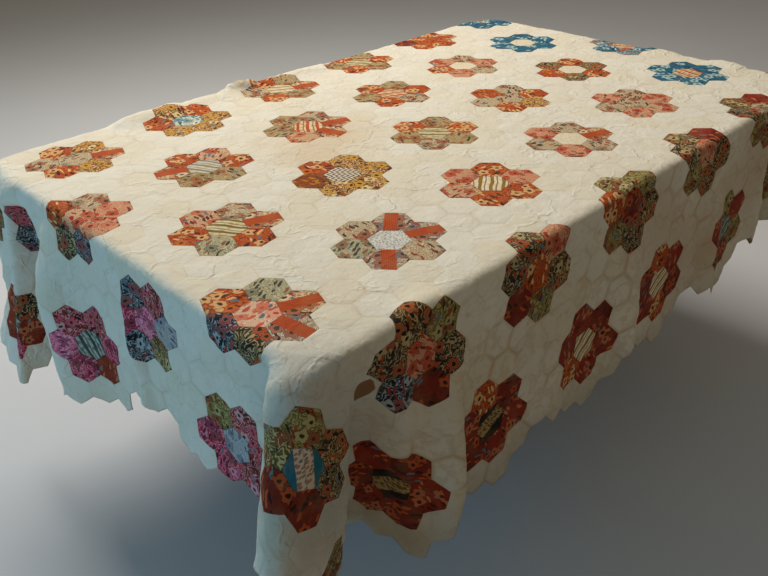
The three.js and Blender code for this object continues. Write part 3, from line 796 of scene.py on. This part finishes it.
def hexagon_pattern():
    """Spots of one hexagon in rings from its middle to its seam, their insets, and its triangles."""
    angles = LATTICE_ANGLE + math.pi / 6 + np.arange(7) * math.pi / 3
    corners = HEXAGON_SIDE * np.stack([np.cos(angles), np.sin(angles)], -1)
    spots = [np.zeros(2)]
    insets = [0]
    starts = [0]
    for ring, inset in enumerate(RING_INSETS, 1):
        starts.append(len(spots))
        for side in range(6):
            for step in range(ring):
                spots.append(inset * (corners[side] + (corners[side + 1] - corners[side]) * step / ring))
                insets.append(inset)

    def spot(ring, side, step):
        return starts[ring] + (side * ring + step) % (6 * ring) if ring else 0

    faces = []
    for ring in range(1, len(RING_INSETS) + 1):
        for side in range(6):
            for step in range(ring):
                inner = spot(ring - 1, side, step)
                outer = spot(ring, side, step + 1)
                faces.append((inner, spot(ring, side, step), outer))
                if step < ring - 1:
                    faces.append((inner, outer, spot(ring - 1, side, step + 1)))
    return np.array(spots), np.array(insets), np.array(faces), starts[-1]


def soft_noise(points, size, seed):
    """Smooth noise from -1 to 1 with features of the given size, the same on every run."""
    draw = np.random.default_rng(seed)
    total = np.zeros(len(points))
    for _ in range(NOISE_WAVES):
        angle = draw.uniform(0, 2 * math.pi)
        wave = 2 * math.pi / (size * draw.uniform(*WAVE_SIZES))
        phase = draw.uniform(0, 2 * math.pi)
        total += np.sin((points[:, 0] * math.cos(angle) + points[:, 1] * math.sin(angle)) * wave + phase)
    return total / (NOISE_WAVES / 2)


def crease_height(spots):
    """Height of the listed creases, at spots of the flat cloth."""
    height = np.zeros(len(spots))
    for crease in CREASES:
        start = np.array([crease.from_x, crease.from_y])
        line = np.array([crease.to_x, crease.to_y]) - start
        share = np.clip((spots - start) @ line / (line @ line), 0, 1)
        away = np.hypot(*(spots - start - share[:, None] * line).T)
        taper = np.sqrt(np.clip(4 * share * (1 - share), 0, 1))
        height += crease.height * taper * np.exp(-(away / crease.width * 2) ** 2)
    return height


def noise_creases(spots, noise, width):
    """Fine creases along the lines where the noise passes through 0."""
    return np.exp(-(soft_noise(spots, *noise) / width) ** 2)


def wrinkle_height(spots, hanging):
    """Height of the soft wrinkles, from about -1 to 1 down the sides and less on the table's top."""
    broad = BROAD_SHARE * soft_noise(spots, *BROAD_WRINKLES)
    broad += (1 - BROAD_SHARE) * soft_noise(spots, *SMALL_WRINKLES)
    patchy = smooth(soft_noise(spots, *WRINKLED_AREAS) + AREAS_WIDER)
    fine = noise_creases(spots, LONG_CREASES, LONG_CREASE_WIDTH)
    fine += SHORT_CREASE_SHARE * noise_creases(spots, SHORT_CREASES, SHORT_CREASE_WIDTH)
    return broad * hanging + fine * patchy * (CREASES_ON_TOP + CREASES_HANGING * hanging)


def relief(spots, insets, hanging, owners, patch_count, sizes):
    """Height of the patches' puff, the wrinkles and the creases, in millimetres."""
    draw = np.random.default_rng(PUFF_SEED)
    puffs = draw.uniform(*PUFF_SHARES, patch_count)[owners]
    height = sizes.puff / MM * puffs * (1 - insets ** PUFF_POWER)
    height += sizes.wrinkle / MM * wrinkle_height(spots, hanging)
    height += TOP_SWELL * (1 - hanging) * (1 + soft_noise(spots, *TOP_SWELLS)).clip(0)
    return height + crease_height(spots)


def normals_of(points, faces):
    corner = points[faces]
    each = np.cross(corner[:, 1] - corner[:, 0], corner[:, 2] - corner[:, 0])
    total = np.zeros_like(points)
    for k in range(3):
        for axis in range(3):
            total[:, axis] += np.bincount(faces[:, k], each[:, axis], len(points))
    return total / np.linalg.norm(total, axis=1, keepdims=True).clip(1e-9)


def new_object(name, points, faces):
    mesh = bpy.data.meshes.new(name)
    mesh.from_pydata(points.tolist(), [], faces.tolist())
    mesh.validate()
    made = bpy.data.objects.new(name, mesh)
    bpy.context.scene.collection.objects.link(made)
    return made


def quilt_faces(cells, pattern_faces, inverse, flat_cells, rim_start, spot_count):
    """Front, back and rim triangles of the quilt, and the cell of each front and back one."""
    front = inverse[:, pattern_faces].reshape(-1, 3)
    front_cell = np.repeat(np.arange(len(cells)), len(pattern_faces))
    full = ~flat_cells
    back = inverse[full][:, pattern_faces].reshape(-1, 3)
    back_cell = np.repeat(np.flatnonzero(full), len(pattern_faces))
    border = np.arange(rim_start, inverse.shape[1])
    fan = np.stack([np.zeros_like(border), border, np.roll(border, -1)], -1)
    fans = inverse[flat_cells][:, fan].reshape(-1, 3)
    back = np.concatenate([back, fans])
    back_cell = np.concatenate([back_cell, np.repeat(np.flatnonzero(flat_cells), len(fan))])
    edges = np.concatenate([front[:, [0, 1]], front[:, [1, 2]], front[:, [2, 0]]])
    keys = edges[:, 0] * spot_count + edges[:, 1]
    reverse = edges[:, 1] * spot_count + edges[:, 0]
    start, end = edges[~np.isin(reverse, keys)].T
    below_start = start + spot_count
    below_end = end + spot_count
    rim = np.concatenate([
        np.stack([end, start, below_start], -1),
        np.stack([end, below_start, below_end], -1),
    ])
    faces = np.concatenate([front, back[:, [0, 2, 1]] + spot_count, rim])
    return faces, np.concatenate([front_cell, back_cell]), len(front)


class Nodes:
    """Adds shader nodes to one material and joins them."""

    def __init__(self, name):
        self.material = bpy.data.materials.new(name)
        self.material.use_nodes = True
        self.tree = self.material.node_tree
        self.tree.nodes.clear()

    def add(self, kind, inputs=None, **settings):
        made = self.tree.nodes.new("ShaderNode" + kind)
        for key, value in settings.items():
            setattr(made, key, value)
        for key, value in (inputs or {}).items():
            if isinstance(value, bpy.types.NodeSocket):
                self.tree.links.new(value, made.inputs[key])
            else:
                made.inputs[key].default_value = value
        return made

    def math(self, operation, first, second=0.0):
        return self.add("Math", {0: first, 1: second}, operation=operation).outputs[0]

    def times(self, first, second):
        return self.math("MULTIPLY", first, second)

    def plus(self, first, second):
        return self.math("ADD", first, second)

    def mix(self, share, first, second):
        return self.add("Mix", {0: share, 6: first, 7: second}, data_type="RGBA").outputs[2]

    def between(self, value, low, high):
        """0 where the value is at low, 1 where it is at high, and smooth between."""
        inputs = {"Value": value, "From Min": low, "From Max": high}
        return self.add("MapRange", inputs, interpolation_type="SMOOTHSTEP").outputs["Result"]

    def noise(self, place, scale, detail=2.0, rough=0.5):
        inputs = {"Vector": place, "Scale": scale, "Detail": detail, "Roughness": rough}
        return self.add("TexNoise", inputs).outputs["Fac"]

    def patches(self, place, name):
        """Soft patches of noise, 1 inside and 0 outside, by their row among the kinds of patches."""
        kind = PATCHES[name]
        cloudy = self.noise(place, kind.per_metre, kind.detail, kind.rough)
        return self.between(cloudy, kind.low, kind.high)

    def wandering(self, place, name):
        """A place that wanders to and fro, by its row among the kinds of wandering."""
        kind = WANDERS[name]
        inputs = {"Vector": place, "Scale": kind.per_metre, "Detail": 1.0}
        noise = self.add("TexNoise", inputs).outputs["Color"]
        centred = self.add("VectorMath", {0: noise, 1: (0.5, 0.5, 0.5)}, operation="SUBTRACT").outputs[0]
        scaled = self.add("VectorMath", {0: centred, "Scale": kind.reach}, operation="SCALE").outputs[0]
        return self.add("VectorMath", {0: place, 1: scaled}, operation="ADD").outputs[0]

    def cells(self, place, per_metre):
        inputs = {"Vector": place, "Scale": per_metre}
        return self.add("TexVoronoi", inputs, voronoi_dimensions="2D").outputs

    def turned(self, place, angle):
        inputs = {"Vector": place, "Angle": angle}
        return self.add("VectorRotate", inputs, rotation_type="Z_AXIS").outputs[0]

    def parts(self, place):
        return self.add("SeparateXYZ", {0: place}).outputs

    def draws(self, cells):
        """Three numbers that each cell has drawn."""
        return self.add("SeparateColor", {0: cells["Color"]}).outputs

    def read(self, name, output="Vector"):
        return self.add("Attribute", attribute_name=name).outputs[output]

    def finish(self, colour, finish, height):
        surface = self.add("BsdfPrincipled", {"Base Color": colour, "Roughness": finish.roughness})
        surface.inputs["Specular IOR Level"].default_value = SPECULAR
        surface.inputs["Sheen Weight"].default_value = finish.sheen
        surface.inputs["Sheen Roughness"].default_value = SHEEN_ROUGHNESS
        raised = self.add("Bump", {"Height": height, "Distance": finish.depth, "Strength": 1.0})
        self.tree.links.new(raised.outputs["Normal"], surface.inputs["Normal"])
        out = self.add("OutputMaterial")
        self.tree.links.new(surface.outputs[0], out.inputs[0])
        return self.material


def opaque(colour):
    return (*colour[:3], 1.0)


def dye(code):
    return opaque(linear(code))


def flat_place(nodes):
    """The place on the flat cloth, in metres."""
    return nodes.add("UVMap", uv_map="cut_cloth").outputs["UV"]


def marked_and_shaded(nodes, mask, mark):
    """How strong a mark of age is: as its mask, weak on the top and stronger where the cloth hangs, which
    partly paints the hanging sides' shade.
    """
    hang = nodes.read("hang", "Fac")
    return nodes.times(mask, nodes.plus(nodes.times(hang, mark.hanging), mark.on_top))


def age(nodes, place, colour, foxing):
    """Adds stains to a colour, stronger where the cloth hangs as partly painted shade, fewer down the near
    short side as painted light where the cool lamp falls, and painted shade at the near hem.
    """
    along, across = nodes.parts(place)[:2]
    seam = nodes.between(nodes.read("inset", "Fac"), SEAM_STAIN_FROM, 1.0)
    level = nodes.noise(nodes.wandering(place, "tide"), *TIDE_NOISE)
    rim = nodes.between(nodes.math("ABSOLUTE", nodes.math("SUBTRACT", level, 0.5)), *TIDE_RIM)
    mottled = nodes.patches(nodes.wandering(place, "mottle"), "mottle")
    # Stains, stronger where the cloth hangs, which is partly painted shade on the hanging sides
    share = marked_and_shaded(nodes, nodes.times(seam, nodes.patches(place, "seam_stain")), SEAM_MARK)
    marks = ((nodes.patches(place, "blotch"), BLOTCH_MARK), (mottled, MOTTLE_MARK), (rim, TIDE_MARK))
    for mask, mark in marks:
        share = nodes.math("MAXIMUM", share, marked_and_shaded(nodes, mask, mark))
    # Painted light: the stains are held back down the near short side, where the cool lamp falls
    cool_side = nodes.times(nodes.between(along, *COOL_SIDE_ALONG), nodes.between(across, *COOL_SIDE_ACROSS))
    stains_kept = nodes.math("SUBTRACT", 1.0, nodes.times(cool_side, COOL_SIDE_SHARE))
    colour = nodes.mix(nodes.times(share, stains_kept), colour, foxing)
    # Painted shade: darker towards the bottom of the near long side
    hem_shade = nodes.times(nodes.between(across, *HEM_SHADE_RANGE), HEM_SHADE_SHARE)
    return nodes.mix(hem_shade, colour, dye(HEM_SHADE_COLOUR))


def cloth_height(nodes, place):
    """Height of the crumples, creases, weave and seams of old cotton, as a share of its finish's depth."""
    crumple = nodes.noise(nodes.wandering(place, "crumple"), *CRUMPLE_NOISE)
    fold = nodes.noise(nodes.wandering(place, "fold"), *FOLD_NOISE)
    away = nodes.math("ABSOLUTE", nodes.math("SUBTRACT", fold, 0.5))
    crease = nodes.times(nodes.between(away, FOLD_WIDTH, 0.0), nodes.patches(place, "broken"))
    wave = {"Vector": place, "Scale": THREADS_PER_METRE}
    warp, weft = [nodes.add("TexWave", wave, bands_direction=way).outputs["Fac"] for way in ("X", "Y")]
    weave = nodes.times(nodes.plus(warp, weft), THREAD_HEIGHT)
    ditch = nodes.times(nodes.between(nodes.read("inset", "Fac"), DITCH_FROM, 1.0), -DITCH_DEPTH)
    raised = nodes.plus(nodes.plus(crumple, weave), nodes.times(crease, CREASE_HEIGHT))
    return nodes.plus(raised, ditch)


def stained_and_shaded(nodes, place, colour):
    """The stains that stand out on the plain cloth, the broad stains down the near long side that are
    partly painted shade, and a patch of painted shade on the near corner's lobe, each with a wandering
    edge.
    """
    broad = nodes.wandering(place, "broad_stain_and_shade")
    close = nodes.wandering(place, "small_stain")
    for stain_or_shade in STAINS_AND_SHADE:
        wander = close if stain_or_shade.radius < SMALL_STAIN else broad
        middle = (stain_or_shade.x * MM, stain_or_shade.y * MM, 0)
        far = nodes.add("VectorMath", {0: wander, 1: middle}, operation="DISTANCE").outputs["Value"]
        edge = stain_or_shade.radius * MM
        inside = nodes.between(far, edge, edge * stain_or_shade.core)
        colour = nodes.mix(nodes.times(inside, stain_or_shade.strength), colour, dye(stain_or_shade.code))
    return colour


def cotton_material(colours):
    nodes = Nodes("cream_cotton")
    place = flat_place(nodes)
    deep = tuple(c * COTTON_SHADE for c in colours.cotton)
    colour = nodes.mix(nodes.noise(place, *COTTON_NOISE), opaque(colours.cotton), opaque(deep))
    colour = nodes.mix(nodes.read("tint", "Fac"), colour, dye(YELLOWED_COTTON))
    colour = age(nodes, place, colour, opaque(colours.foxing))
    colour = stained_and_shaded(nodes, place, colour)
    line = nodes.between(nodes.read("inset", "Fac"), *COTTON_SEAM)
    shown = marked_and_shaded(nodes, nodes.patches(place, "uneven_seam"), SEAM_LINE)
    colour = nodes.mix(nodes.times(line, shown), colour, dye(COTTON_SEAM_LINE))
    return nodes.finish(colour, COTTON_FINISH, cloth_height(nodes, place))


def back_material(colours):
    nodes = Nodes("cloth_back")
    place = flat_place(nodes)
    colour = nodes.mix(nodes.noise(place, *BACK_NOISE), opaque(colours.back), dye(BACK_PATCHES))
    turning = nodes.between(nodes.read("inset", "Fac"), *SEAM_TURNING)
    colour = nodes.mix(nodes.times(turning, TURNING_SHARE), colour, dye(BACK_TURNINGS))
    return nodes.finish(colour, BACK_FINISH, cloth_height(nodes, place))


def cut_place(nodes):
    """The place on the print that a patch was cut from: shifted and turned for each patch."""
    cut = nodes.parts(nodes.read("cut"))
    shift = nodes.add("CombineXYZ", {0: cut[0], 1: cut[1]}).outputs[0]
    moved = nodes.add("VectorMath", {0: flat_place(nodes), 1: shift}, operation="ADD").outputs[0]
    return nodes.turned(moved, cut[2])


def strokes(nodes, place, leaf):
    """Leaf-like strokes that lie at an angle: their mask, and the numbers that each has drawn."""
    inputs = {"Vector": nodes.turned(place, leaf.angle), "Scale": (1.0, leaf.stretch, 1.0)}
    cells = nodes.cells(nodes.add("Mapping", inputs).outputs[0], leaf.per_metre)
    return nodes.between(cells["Distance"], leaf.size, leaf.size * LEAF_EDGE), nodes.draws(cells)


def blossoms(nodes, place):
    """Scattered blossoms: how far a spot lies inside its nearest one's edge, its heart, its draws."""
    cells = nodes.cells(place, BLOSSOMS_PER_METRE)
    away = nodes.add("VectorMath", {0: place, 1: cells["Position"]}, operation="SUBTRACT").outputs[0]
    parts = nodes.parts(away)
    pick = nodes.draws(cells)
    angle = nodes.math("ARCTAN2", parts[1], parts[0])
    wave = nodes.math("COSINE", nodes.times(nodes.plus(angle, pick[1]), BLOSSOM_PETALS))
    edge = nodes.plus(nodes.times(wave, BLOSSOM_SIZE * PETAL_WAVE), BLOSSOM_SIZE)
    inside = nodes.math("SUBTRACT", edge, cells["Distance"])
    heart = nodes.between(cells["Distance"], *(BLOSSOM_SIZE * share for share in HEART_SHARES))
    return inside, heart, pick


def flowers_colour(nodes, place, names):
    """Blossoms with ringed petals among leaves and curling stems on a ground."""
    ground, figure, accent, line = names
    bent = nodes.wandering(place, "stems")
    swirl = nodes.math("PINGPONG", nodes.noise(bent, *STEM_NOISE), STEM_BEAT)
    colour = nodes.mix(nodes.times(nodes.between(swirl, *STEM_FILL), STEM_FILL_SHARE), ground, accent)
    colour = nodes.mix(nodes.times(nodes.between(swirl, *STEM_LINE), STEM_LINE_SHARE), colour, line)
    leaves, pick = strokes(nodes, bent, FLOWER_LEAF)
    tone = nodes.mix(nodes.between(pick[2], *HALF_OF_LEAVES), line, figure)
    tone = nodes.mix(nodes.between(pick[2], *FEW_LEAVES), tone, dye(GREY_LEAVES))
    colour = nodes.mix(nodes.times(leaves, nodes.between(pick[0], *LEAVES_SHOWN)), colour, tone)
    inside, heart, pick = blossoms(nodes, bent)
    shown = nodes.between(pick[2], *BLOSSOMS_SHOWN)
    tone = nodes.mix(nodes.between(pick[0], *ACCENT_BLOSSOMS), figure, accent)
    rings = nodes.between(nodes.math("PINGPONG", inside, RING_BEAT), *RING)
    tone = nodes.mix(nodes.times(rings, RING_SHARE), tone, nodes.mix(0.5, accent, ground))
    tone = nodes.mix(heart, tone, line)
    outlined = nodes.times(nodes.between(inside, *BLOSSOM_OUTLINE), shown)
    colour = nodes.mix(nodes.times(outlined, OUTLINE_SHARE), colour, line)
    return nodes.mix(nodes.times(nodes.between(inside, *BLOSSOM_EDGE), shown), colour, tone)


def stripe(nodes, beat, rise, fall):
    """1 inside one stripe of each beat, which begins over the first pair and ends over the second."""
    return nodes.times(nodes.between(beat, *rise), nodes.between(beat, *fall))


def stripes_colour(nodes, place, names):
    """A broad and a thin stripe by turns."""
    ground, figure, accent, line = names
    across = nodes.parts(nodes.wandering(place, "stripes"))[0]
    beat = nodes.math("FRACT", nodes.times(across, STRIPES_PER_METRE))
    broad = stripe(nodes, beat, *BROAD_STRIPE)
    thin = stripe(nodes, beat, *THIN_STRIPE)
    colour = nodes.mix(nodes.patches(place, "stripe_ground"), ground, accent)
    colour = nodes.mix(broad, colour, figure)
    return nodes.mix(nodes.times(thin, THIN_STRIPE_SHARE), colour, line)


def leaves_colour(nodes, place, names):
    """One broad stripe of small leaves between two plain bands, along the patch."""
    ground, figure, accent, line = names
    across = nodes.parts(place)[0]
    wavy = nodes.times(nodes.noise(place, BAND_WAVES_PER_METRE), BAND_WAVE)
    far = nodes.math("ABSOLUTE", nodes.plus(across, wavy))
    fronds, pick = strokes(nodes, nodes.wandering(place, "fronds"), FROND)
    colour = nodes.mix(fronds, ground, nodes.mix(nodes.between(pick[0], *HALF_OF_FRONDS), figure, line))
    colour = nodes.mix(nodes.between(far, *BAND_EDGE), colour, accent)
    return nodes.mix(nodes.between(nodes.math("PINGPONG", far, BAND_EDGE[1]), *BAND_LINE), colour, line)


def specks_colour(nodes, place, names):
    ground, figure, accent, line = names
    dots = nodes.cells(place, SPECKS_PER_METRE)
    pick = nodes.draws(dots)
    shape = nodes.between(dots["Distance"], *SPECK_EDGE)
    shown = nodes.times(shape, nodes.between(pick[1], *SPECKS_SHOWN))
    chosen = nodes.mix(nodes.between(pick[0], *ACCENT_SPECKS), figure, accent)
    shade = nodes.times(nodes.noise(place, SPECK_GROUND_PER_METRE), SPECK_GROUND_SHARE)
    return nodes.mix(nodes.times(shown, SPECK_SHARE), nodes.mix(shade, ground, line), chosen)


def chevrons_colour(nodes, place, names):
    ground, figure, accent, line = names
    parts = nodes.parts(place)
    zigzag = nodes.math("PINGPONG", parts[0], CHEVRON_WIDTH)
    level = nodes.plus(parts[1], nodes.times(zigzag, CHEVRON_SLOPE))
    beat = nodes.math("FRACT", nodes.times(level, CHEVRONS_PER_METRE))
    colour = nodes.mix(nodes.noise(place, CHEVRON_GROUND_PER_METRE), ground, accent)
    tone = nodes.mix(nodes.noise(place, CHEVRON_TONES_PER_METRE), figure, line)
    return nodes.mix(stripe(nodes, beat, *CHEVRON_BAND), colour, tone)


PATTERN_COLOURS = {
    "flowers": flowers_colour,
    "stripes": stripes_colour,
    "leaves": leaves_colour,
    "specks": specks_colour,
    "chevrons": chevrons_colour,
}


def barred(nodes, place, colour, line):
    """A floral with a plain bar along it, on the patches that have a share of bar."""
    share = nodes.parts(nodes.read("bar_share"))[0]
    across = nodes.parts(place)[0]
    beat = nodes.math("FRACT", nodes.plus(nodes.times(across, BARS_PER_METRE), nodes.times(share, 0.5)))
    fine = nodes.between(nodes.math("FRACT", nodes.times(across, BAR_LINES_PER_METRE)), *BAR_LINE)
    bar = nodes.mix(nodes.times(fine, BAR_LINE_SHARE), dye(BAR_COLOUR), line)
    return nodes.mix(nodes.math("LESS_THAN", beat, share), colour, bar)


def print_material(pattern):
    nodes = Nodes("calico_" + pattern)
    place = cut_place(nodes)
    names = [nodes.read(name, "Color") for name in INKS]
    colour = PATTERN_COLOURS[pattern](nodes, place, names)
    if pattern == "flowers":
        colour = barred(nodes, place, colour, names[-1])
    colour = nodes.mix(nodes.times(nodes.patches(place, "faded"), FADED_SHARE), colour, dye(FADED_PRINT))
    seam = nodes.between(nodes.read("inset", "Fac"), *PRINT_SEAM)
    colour = nodes.mix(nodes.times(seam, PRINT_SEAM_SHARE), colour, dye(PRINT_SEAM_LINE))
    return nodes.finish(colour, PRINT_FINISH, cloth_height(nodes, flat_place(nodes)))


def wood_material(name, colour):
    nodes = Nodes(name)
    place = nodes.add("TexCoord").outputs["Object"]
    stretched = nodes.add("Mapping", {"Vector": place, "Scale": GRAIN_STRETCH}).outputs[0]
    rings = nodes.add("TexWave", {"Vector": stretched, **GRAIN_WAVE}, bands_direction="Z").outputs["Fac"]
    pores = nodes.noise(stretched, *PORE_NOISE)
    grain = nodes.plus(nodes.times(rings, RING_PART), nodes.times(pores, 1 - RING_PART))
    dark = tuple(c * WOOD_SHADE for c in colour)
    return nodes.finish(nodes.mix(grain, opaque(dark), opaque(colour)), WOOD_FINISH, pores)


def face_values(mesh, name, values):
    """Gives each face three numbers."""
    made = mesh.attributes.new(name, "FLOAT_VECTOR", "FACE")
    made.data.foreach_set("vector", values.astype(np.float32).ravel())


def single_values(mesh, name, domain, values):
    made = mesh.attributes.new(name, "FLOAT", domain)
    made.data.foreach_set("value", values.astype(np.float32))


class QUILT_OT_lay_cloth(bpy.types.Operator):
    """Drape the pieced quilt over the table"""
    bl_idname = "quilt.lay_cloth"
    bl_label = "Lay the quilt"

    def execute(self, context):
        sizes = context.scene.quilt_sizes
        cells = quilt_cells()
        pattern, insets, pattern_faces, rim_start = hexagon_pattern()
        middles = np.array([cell[:2] for cell in cells])
        rows_frame = (middles[:, None] + pattern[None]).reshape(-1, 2)
        keys = np.round(rows_frame * KEYS_PER_MM).astype(np.int64)
        _, first, inverse = np.unique(keys, axis=0, return_index=True, return_inverse=True)
        inverse = inverse.reshape(len(cells), len(pattern))
        in_rows = rows_frame[first]
        spots = np.array(FIRST_BLOCK) + turned(in_rows, QUILT_TURN)
        inset = np.tile(insets, len(cells))[first]

        levels, table = drape_table()
        middle, drop = drape(spots, levels, table)
        flat_cells = (drop[inverse] < -PLAIN_BACK).all(1)
        faces, face_cell, front_count = quilt_faces(
            cells, pattern_faces, inverse, flat_cells, rim_start, len(spots),
        )
        normal = normals_of(middle, faces[:front_count])
        hanging = risen(drop, *HANGING)
        owner = np.repeat(np.arange(len(cells)), len(pattern))[first]
        detail = relief(spots, inset, hanging, owner, len(cells), sizes)[:, None]
        half = sizes.thickness / MM / 2
        front = middle + normal * (detail + half)
        back = middle + normal * (detail * risen(drop, *RAISED_BACK)[:, None] - half)
        low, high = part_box("table_top")
        top = np.array([(low.x + high.x) / 2, (low.y + high.y) / 2, high.z])
        points = np.concatenate([front, back]) * MM + top

        quilt = new_object("patchwork_quilt", points, faces)
        mesh = quilt.data
        if len(mesh.polygons) != len(faces):
            raise RuntimeError("the quilt's mesh lost faces")
        self.add_materials(mesh, context.scene.quilt_colours)
        self.dress(mesh, cells, face_cell, front_count)
        self.mark_spots(mesh, np.tile(spots, (2, 1)), np.tile(inset, 2), np.tile(hanging, 2))
        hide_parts("quilt")
        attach(quilt, "root")
        return {"FINISHED"}

    def add_materials(self, mesh, colours):
        mesh.materials.append(cotton_material(colours))
        mesh.materials.append(back_material(colours))
        for pattern in PATTERN_COLOURS:
            mesh.materials.append(print_material(pattern))

    def dress(self, mesh, cells, face_cell, front_count):
        """Gives each patch its print, its inks, and the place on the print that it was cut from."""
        draw = np.random.default_rng(CUT_SEED)
        patterns = list(PATTERN_COLOURS)
        slots = []
        rows = {name: [] for name in (*INKS, "bar_share", "cut")}
        middles = np.array(FIRST_BLOCK) + turned([cell[:2] for cell in cells], QUILT_TURN)
        for (_, _, block, place, printed), middle in zip(cells, middles):
            name, turn = print_of(block, place, printed)
            chosen = PRINTS[name or "plain_cream"]
            shift = draw.uniform(0, CLOTH_REACH, 2)
            angle = draw.uniform(0, math.tau)
            if chosen.share or turn is not None:
                shift = -middle * MM + draw.uniform(-CUT_SLIP, CUT_SLIP, 2)
                angle = -math.radians(turn) + draw.uniform(-CUT_TURN, CUT_TURN)
            slots.append(0 if name is None else 2 + patterns.index(chosen.pattern))
            for ink, code in zip(INKS, chosen.inks.split()):
                rows[ink].append(linear(code))
            rows["bar_share"].append((chosen.share, 0, 0))
            rows["cut"].append((*shift, angle))
        cell = np.zeros(len(mesh.polygons), int)
        cell[:len(face_cell)] = face_cell
        materials = np.ones(len(cell), np.int32)
        materials[:front_count] = np.array(slots)[cell[:front_count]]
        mesh.polygons.foreach_set("material_index", materials)
        for name, values in rows.items():
            face_values(mesh, name, np.array(values)[cell])
        tints = draw.uniform(0, 1, len(cells)) ** TINT_POWER * DEEPEST_TINT
        single_values(mesh, "tint", "FACE", tints[cell])

    def mark_spots(self, mesh, spots, inset, hang):
        """Stores where each spot lies on the flat cloth and in its patch, and how freely it hangs."""
        single_values(mesh, "inset", "POINT", inset)
        single_values(mesh, "hang", "POINT", hang)
        corners = np.zeros(len(mesh.loops), np.int32)
        mesh.loops.foreach_get("vertex_index", corners)
        layer = mesh.uv_layers.new(name="cut_cloth")
        layer.uv.foreach_set("vector", (spots[corners] * MM).astype(np.float32).ravel())
        mesh.polygons.foreach_set("use_smooth", np.ones(len(mesh.polygons), bool))
        mesh.update()


class QUILT_OT_finish_table(bpy.types.Operator):
    """Give the table's pieces their wood"""
    bl_idname = "quilt.finish_table"
    bl_label = "Finish the table"

    def execute(self, context):
        wood = wood_material("table_wood", context.scene.quilt_colours.wood)
        for name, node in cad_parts.items():
            if name != "quilt":
                node.data.materials.clear()
                node.data.materials.append(wood)
        return {"FINISHED"}


class QUILT_OT_set_stage(bpy.types.Operator):
    """Set the floor, the lights and the camera"""
    bl_idname = "quilt.set_stage"
    bl_label = "Set the stage"

    def execute(self, context):
        scene = context.scene
        self.floor(scene.quilt_stage.floor)
        for lamp in LAMPS:
            self.light(scene, lamp, getattr(scene.quilt_stage, lamp.name + "_power"))
        world = bpy.data.worlds.new("studio")
        world.use_nodes = True
        sky = world.node_tree.nodes["Background"].inputs
        sky["Color"].default_value = SKY_COLOUR
        sky["Strength"].default_value = SKY_STRENGTH
        scene.world = world
        scene.view_settings.view_transform = "Standard"
        self.camera(scene, scene.quilt_stage.lens)
        return {"FINISHED"}

    def floor(self, paint):
        reach = FLOOR_REACH
        corners = [(-reach, -reach, 0), (reach, -reach, 0), (reach, reach, 0), (-reach, reach, 0)]
        floor = new_object("floor", np.array(corners, float), np.array([(0, 1, 2, 3)]))
        nodes = Nodes("floor_paint")
        place = nodes.add("TexCoord").outputs["Object"]
        light = tuple(min(1, c * FLOOR_LIGHTER) for c in paint)
        colour = nodes.mix(nodes.noise(place, *FLOOR_NOISE), opaque(paint), opaque(light))
        spots = nodes.noise(place, FLOOR_SPOTS_PER_METRE)
        floor.data.materials.append(nodes.finish(colour, FLOOR_FINISH, spots))

    def light(self, scene, lamp, power):
        light = bpy.data.lights.new(lamp.name, "AREA")
        light.energy = power
        light.color = lamp.colour
        light.size = lamp.size
        made = bpy.data.objects.new(lamp.name, light)
        made.location = lamp.place
        aim = Vector(LAMP_AIM) - Vector(lamp.place)
        made.rotation_euler = aim.to_track_quat("-Z", "Y").to_euler()
        scene.collection.objects.link(made)

    def camera(self, scene, focal_length):
        azimuth = math.radians(CAMERA_AZIMUTH)
        down = math.radians(CAMERA_DOWN)
        roll = math.radians(CAMERA_ROLL)
        low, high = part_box("table_top")
        x = (low.x + high.x) / 2 + CAMERA_FROM_TABLE[0]
        y = (low.y + high.y) / 2 + CAMERA_FROM_TABLE[1]
        level = math.cos(down)
        forward = Vector((level * math.cos(azimuth), level * math.sin(azimuth), -math.sin(down)))
        right = Vector((math.sin(azimuth), -math.cos(azimuth), 0))
        up = right.cross(forward)
        tilted_right = math.cos(roll) * right + math.sin(roll) * up
        tilted_up = math.cos(roll) * up - math.sin(roll) * right
        lens = bpy.data.cameras.new("camera")
        lens.lens = focal_length
        lens.sensor_width = SENSOR_WIDTH
        made = bpy.data.objects.new("camera", lens)
        turn = Matrix((tilted_right, tilted_up, -forward)).transposed()
        made.matrix_world = Matrix.Translation((x, y, CAMERA_HEIGHT)) @ turn.to_4x4()
        scene.collection.objects.link(made)
        scene.camera = made


class QUILT_PT_panel(bpy.types.Panel):
    bl_label = "Quilt"
    bl_idname = "QUILT_PT_panel"
    bl_space_type = "VIEW_3D"
    bl_region_type = "UI"
    bl_category = "Quilt"

    def draw(self, context):
        layout = self.layout
        for group in (context.scene.quilt_sizes, context.scene.quilt_colours, context.scene.quilt_stage):
            for name in group.__annotations__:
                layout.prop(group, name)
        for operator in (QUILT_OT_lay_cloth, QUILT_OT_finish_table, QUILT_OT_set_stage):
            layout.operator(operator.bl_idname)


CLASSES = (
    QuiltSizes,
    QuiltColours,
    QuiltStage,
    QUILT_OT_lay_cloth,
    QUILT_OT_finish_table,
    QUILT_OT_set_stage,
    QUILT_PT_panel,
)


def register():
    for one in CLASSES:
        bpy.utils.register_class(one)
    bpy.types.Scene.quilt_sizes = PointerProperty(type=QuiltSizes)
    bpy.types.Scene.quilt_colours = PointerProperty(type=QuiltColours)
    bpy.types.Scene.quilt_stage = PointerProperty(type=QuiltStage)


def unregister():
    del bpy.types.Scene.quilt_sizes
    del bpy.types.Scene.quilt_colours
    del bpy.types.Scene.quilt_stage
    for one in reversed(CLASSES):
        bpy.utils.unregister_class(one)


def main():
    register()
    bpy.ops.quilt.set_stage()
    bpy.ops.quilt.lay_cloth()
    bpy.ops.quilt.finish_table()


if __name__ == "__main__":
    main()
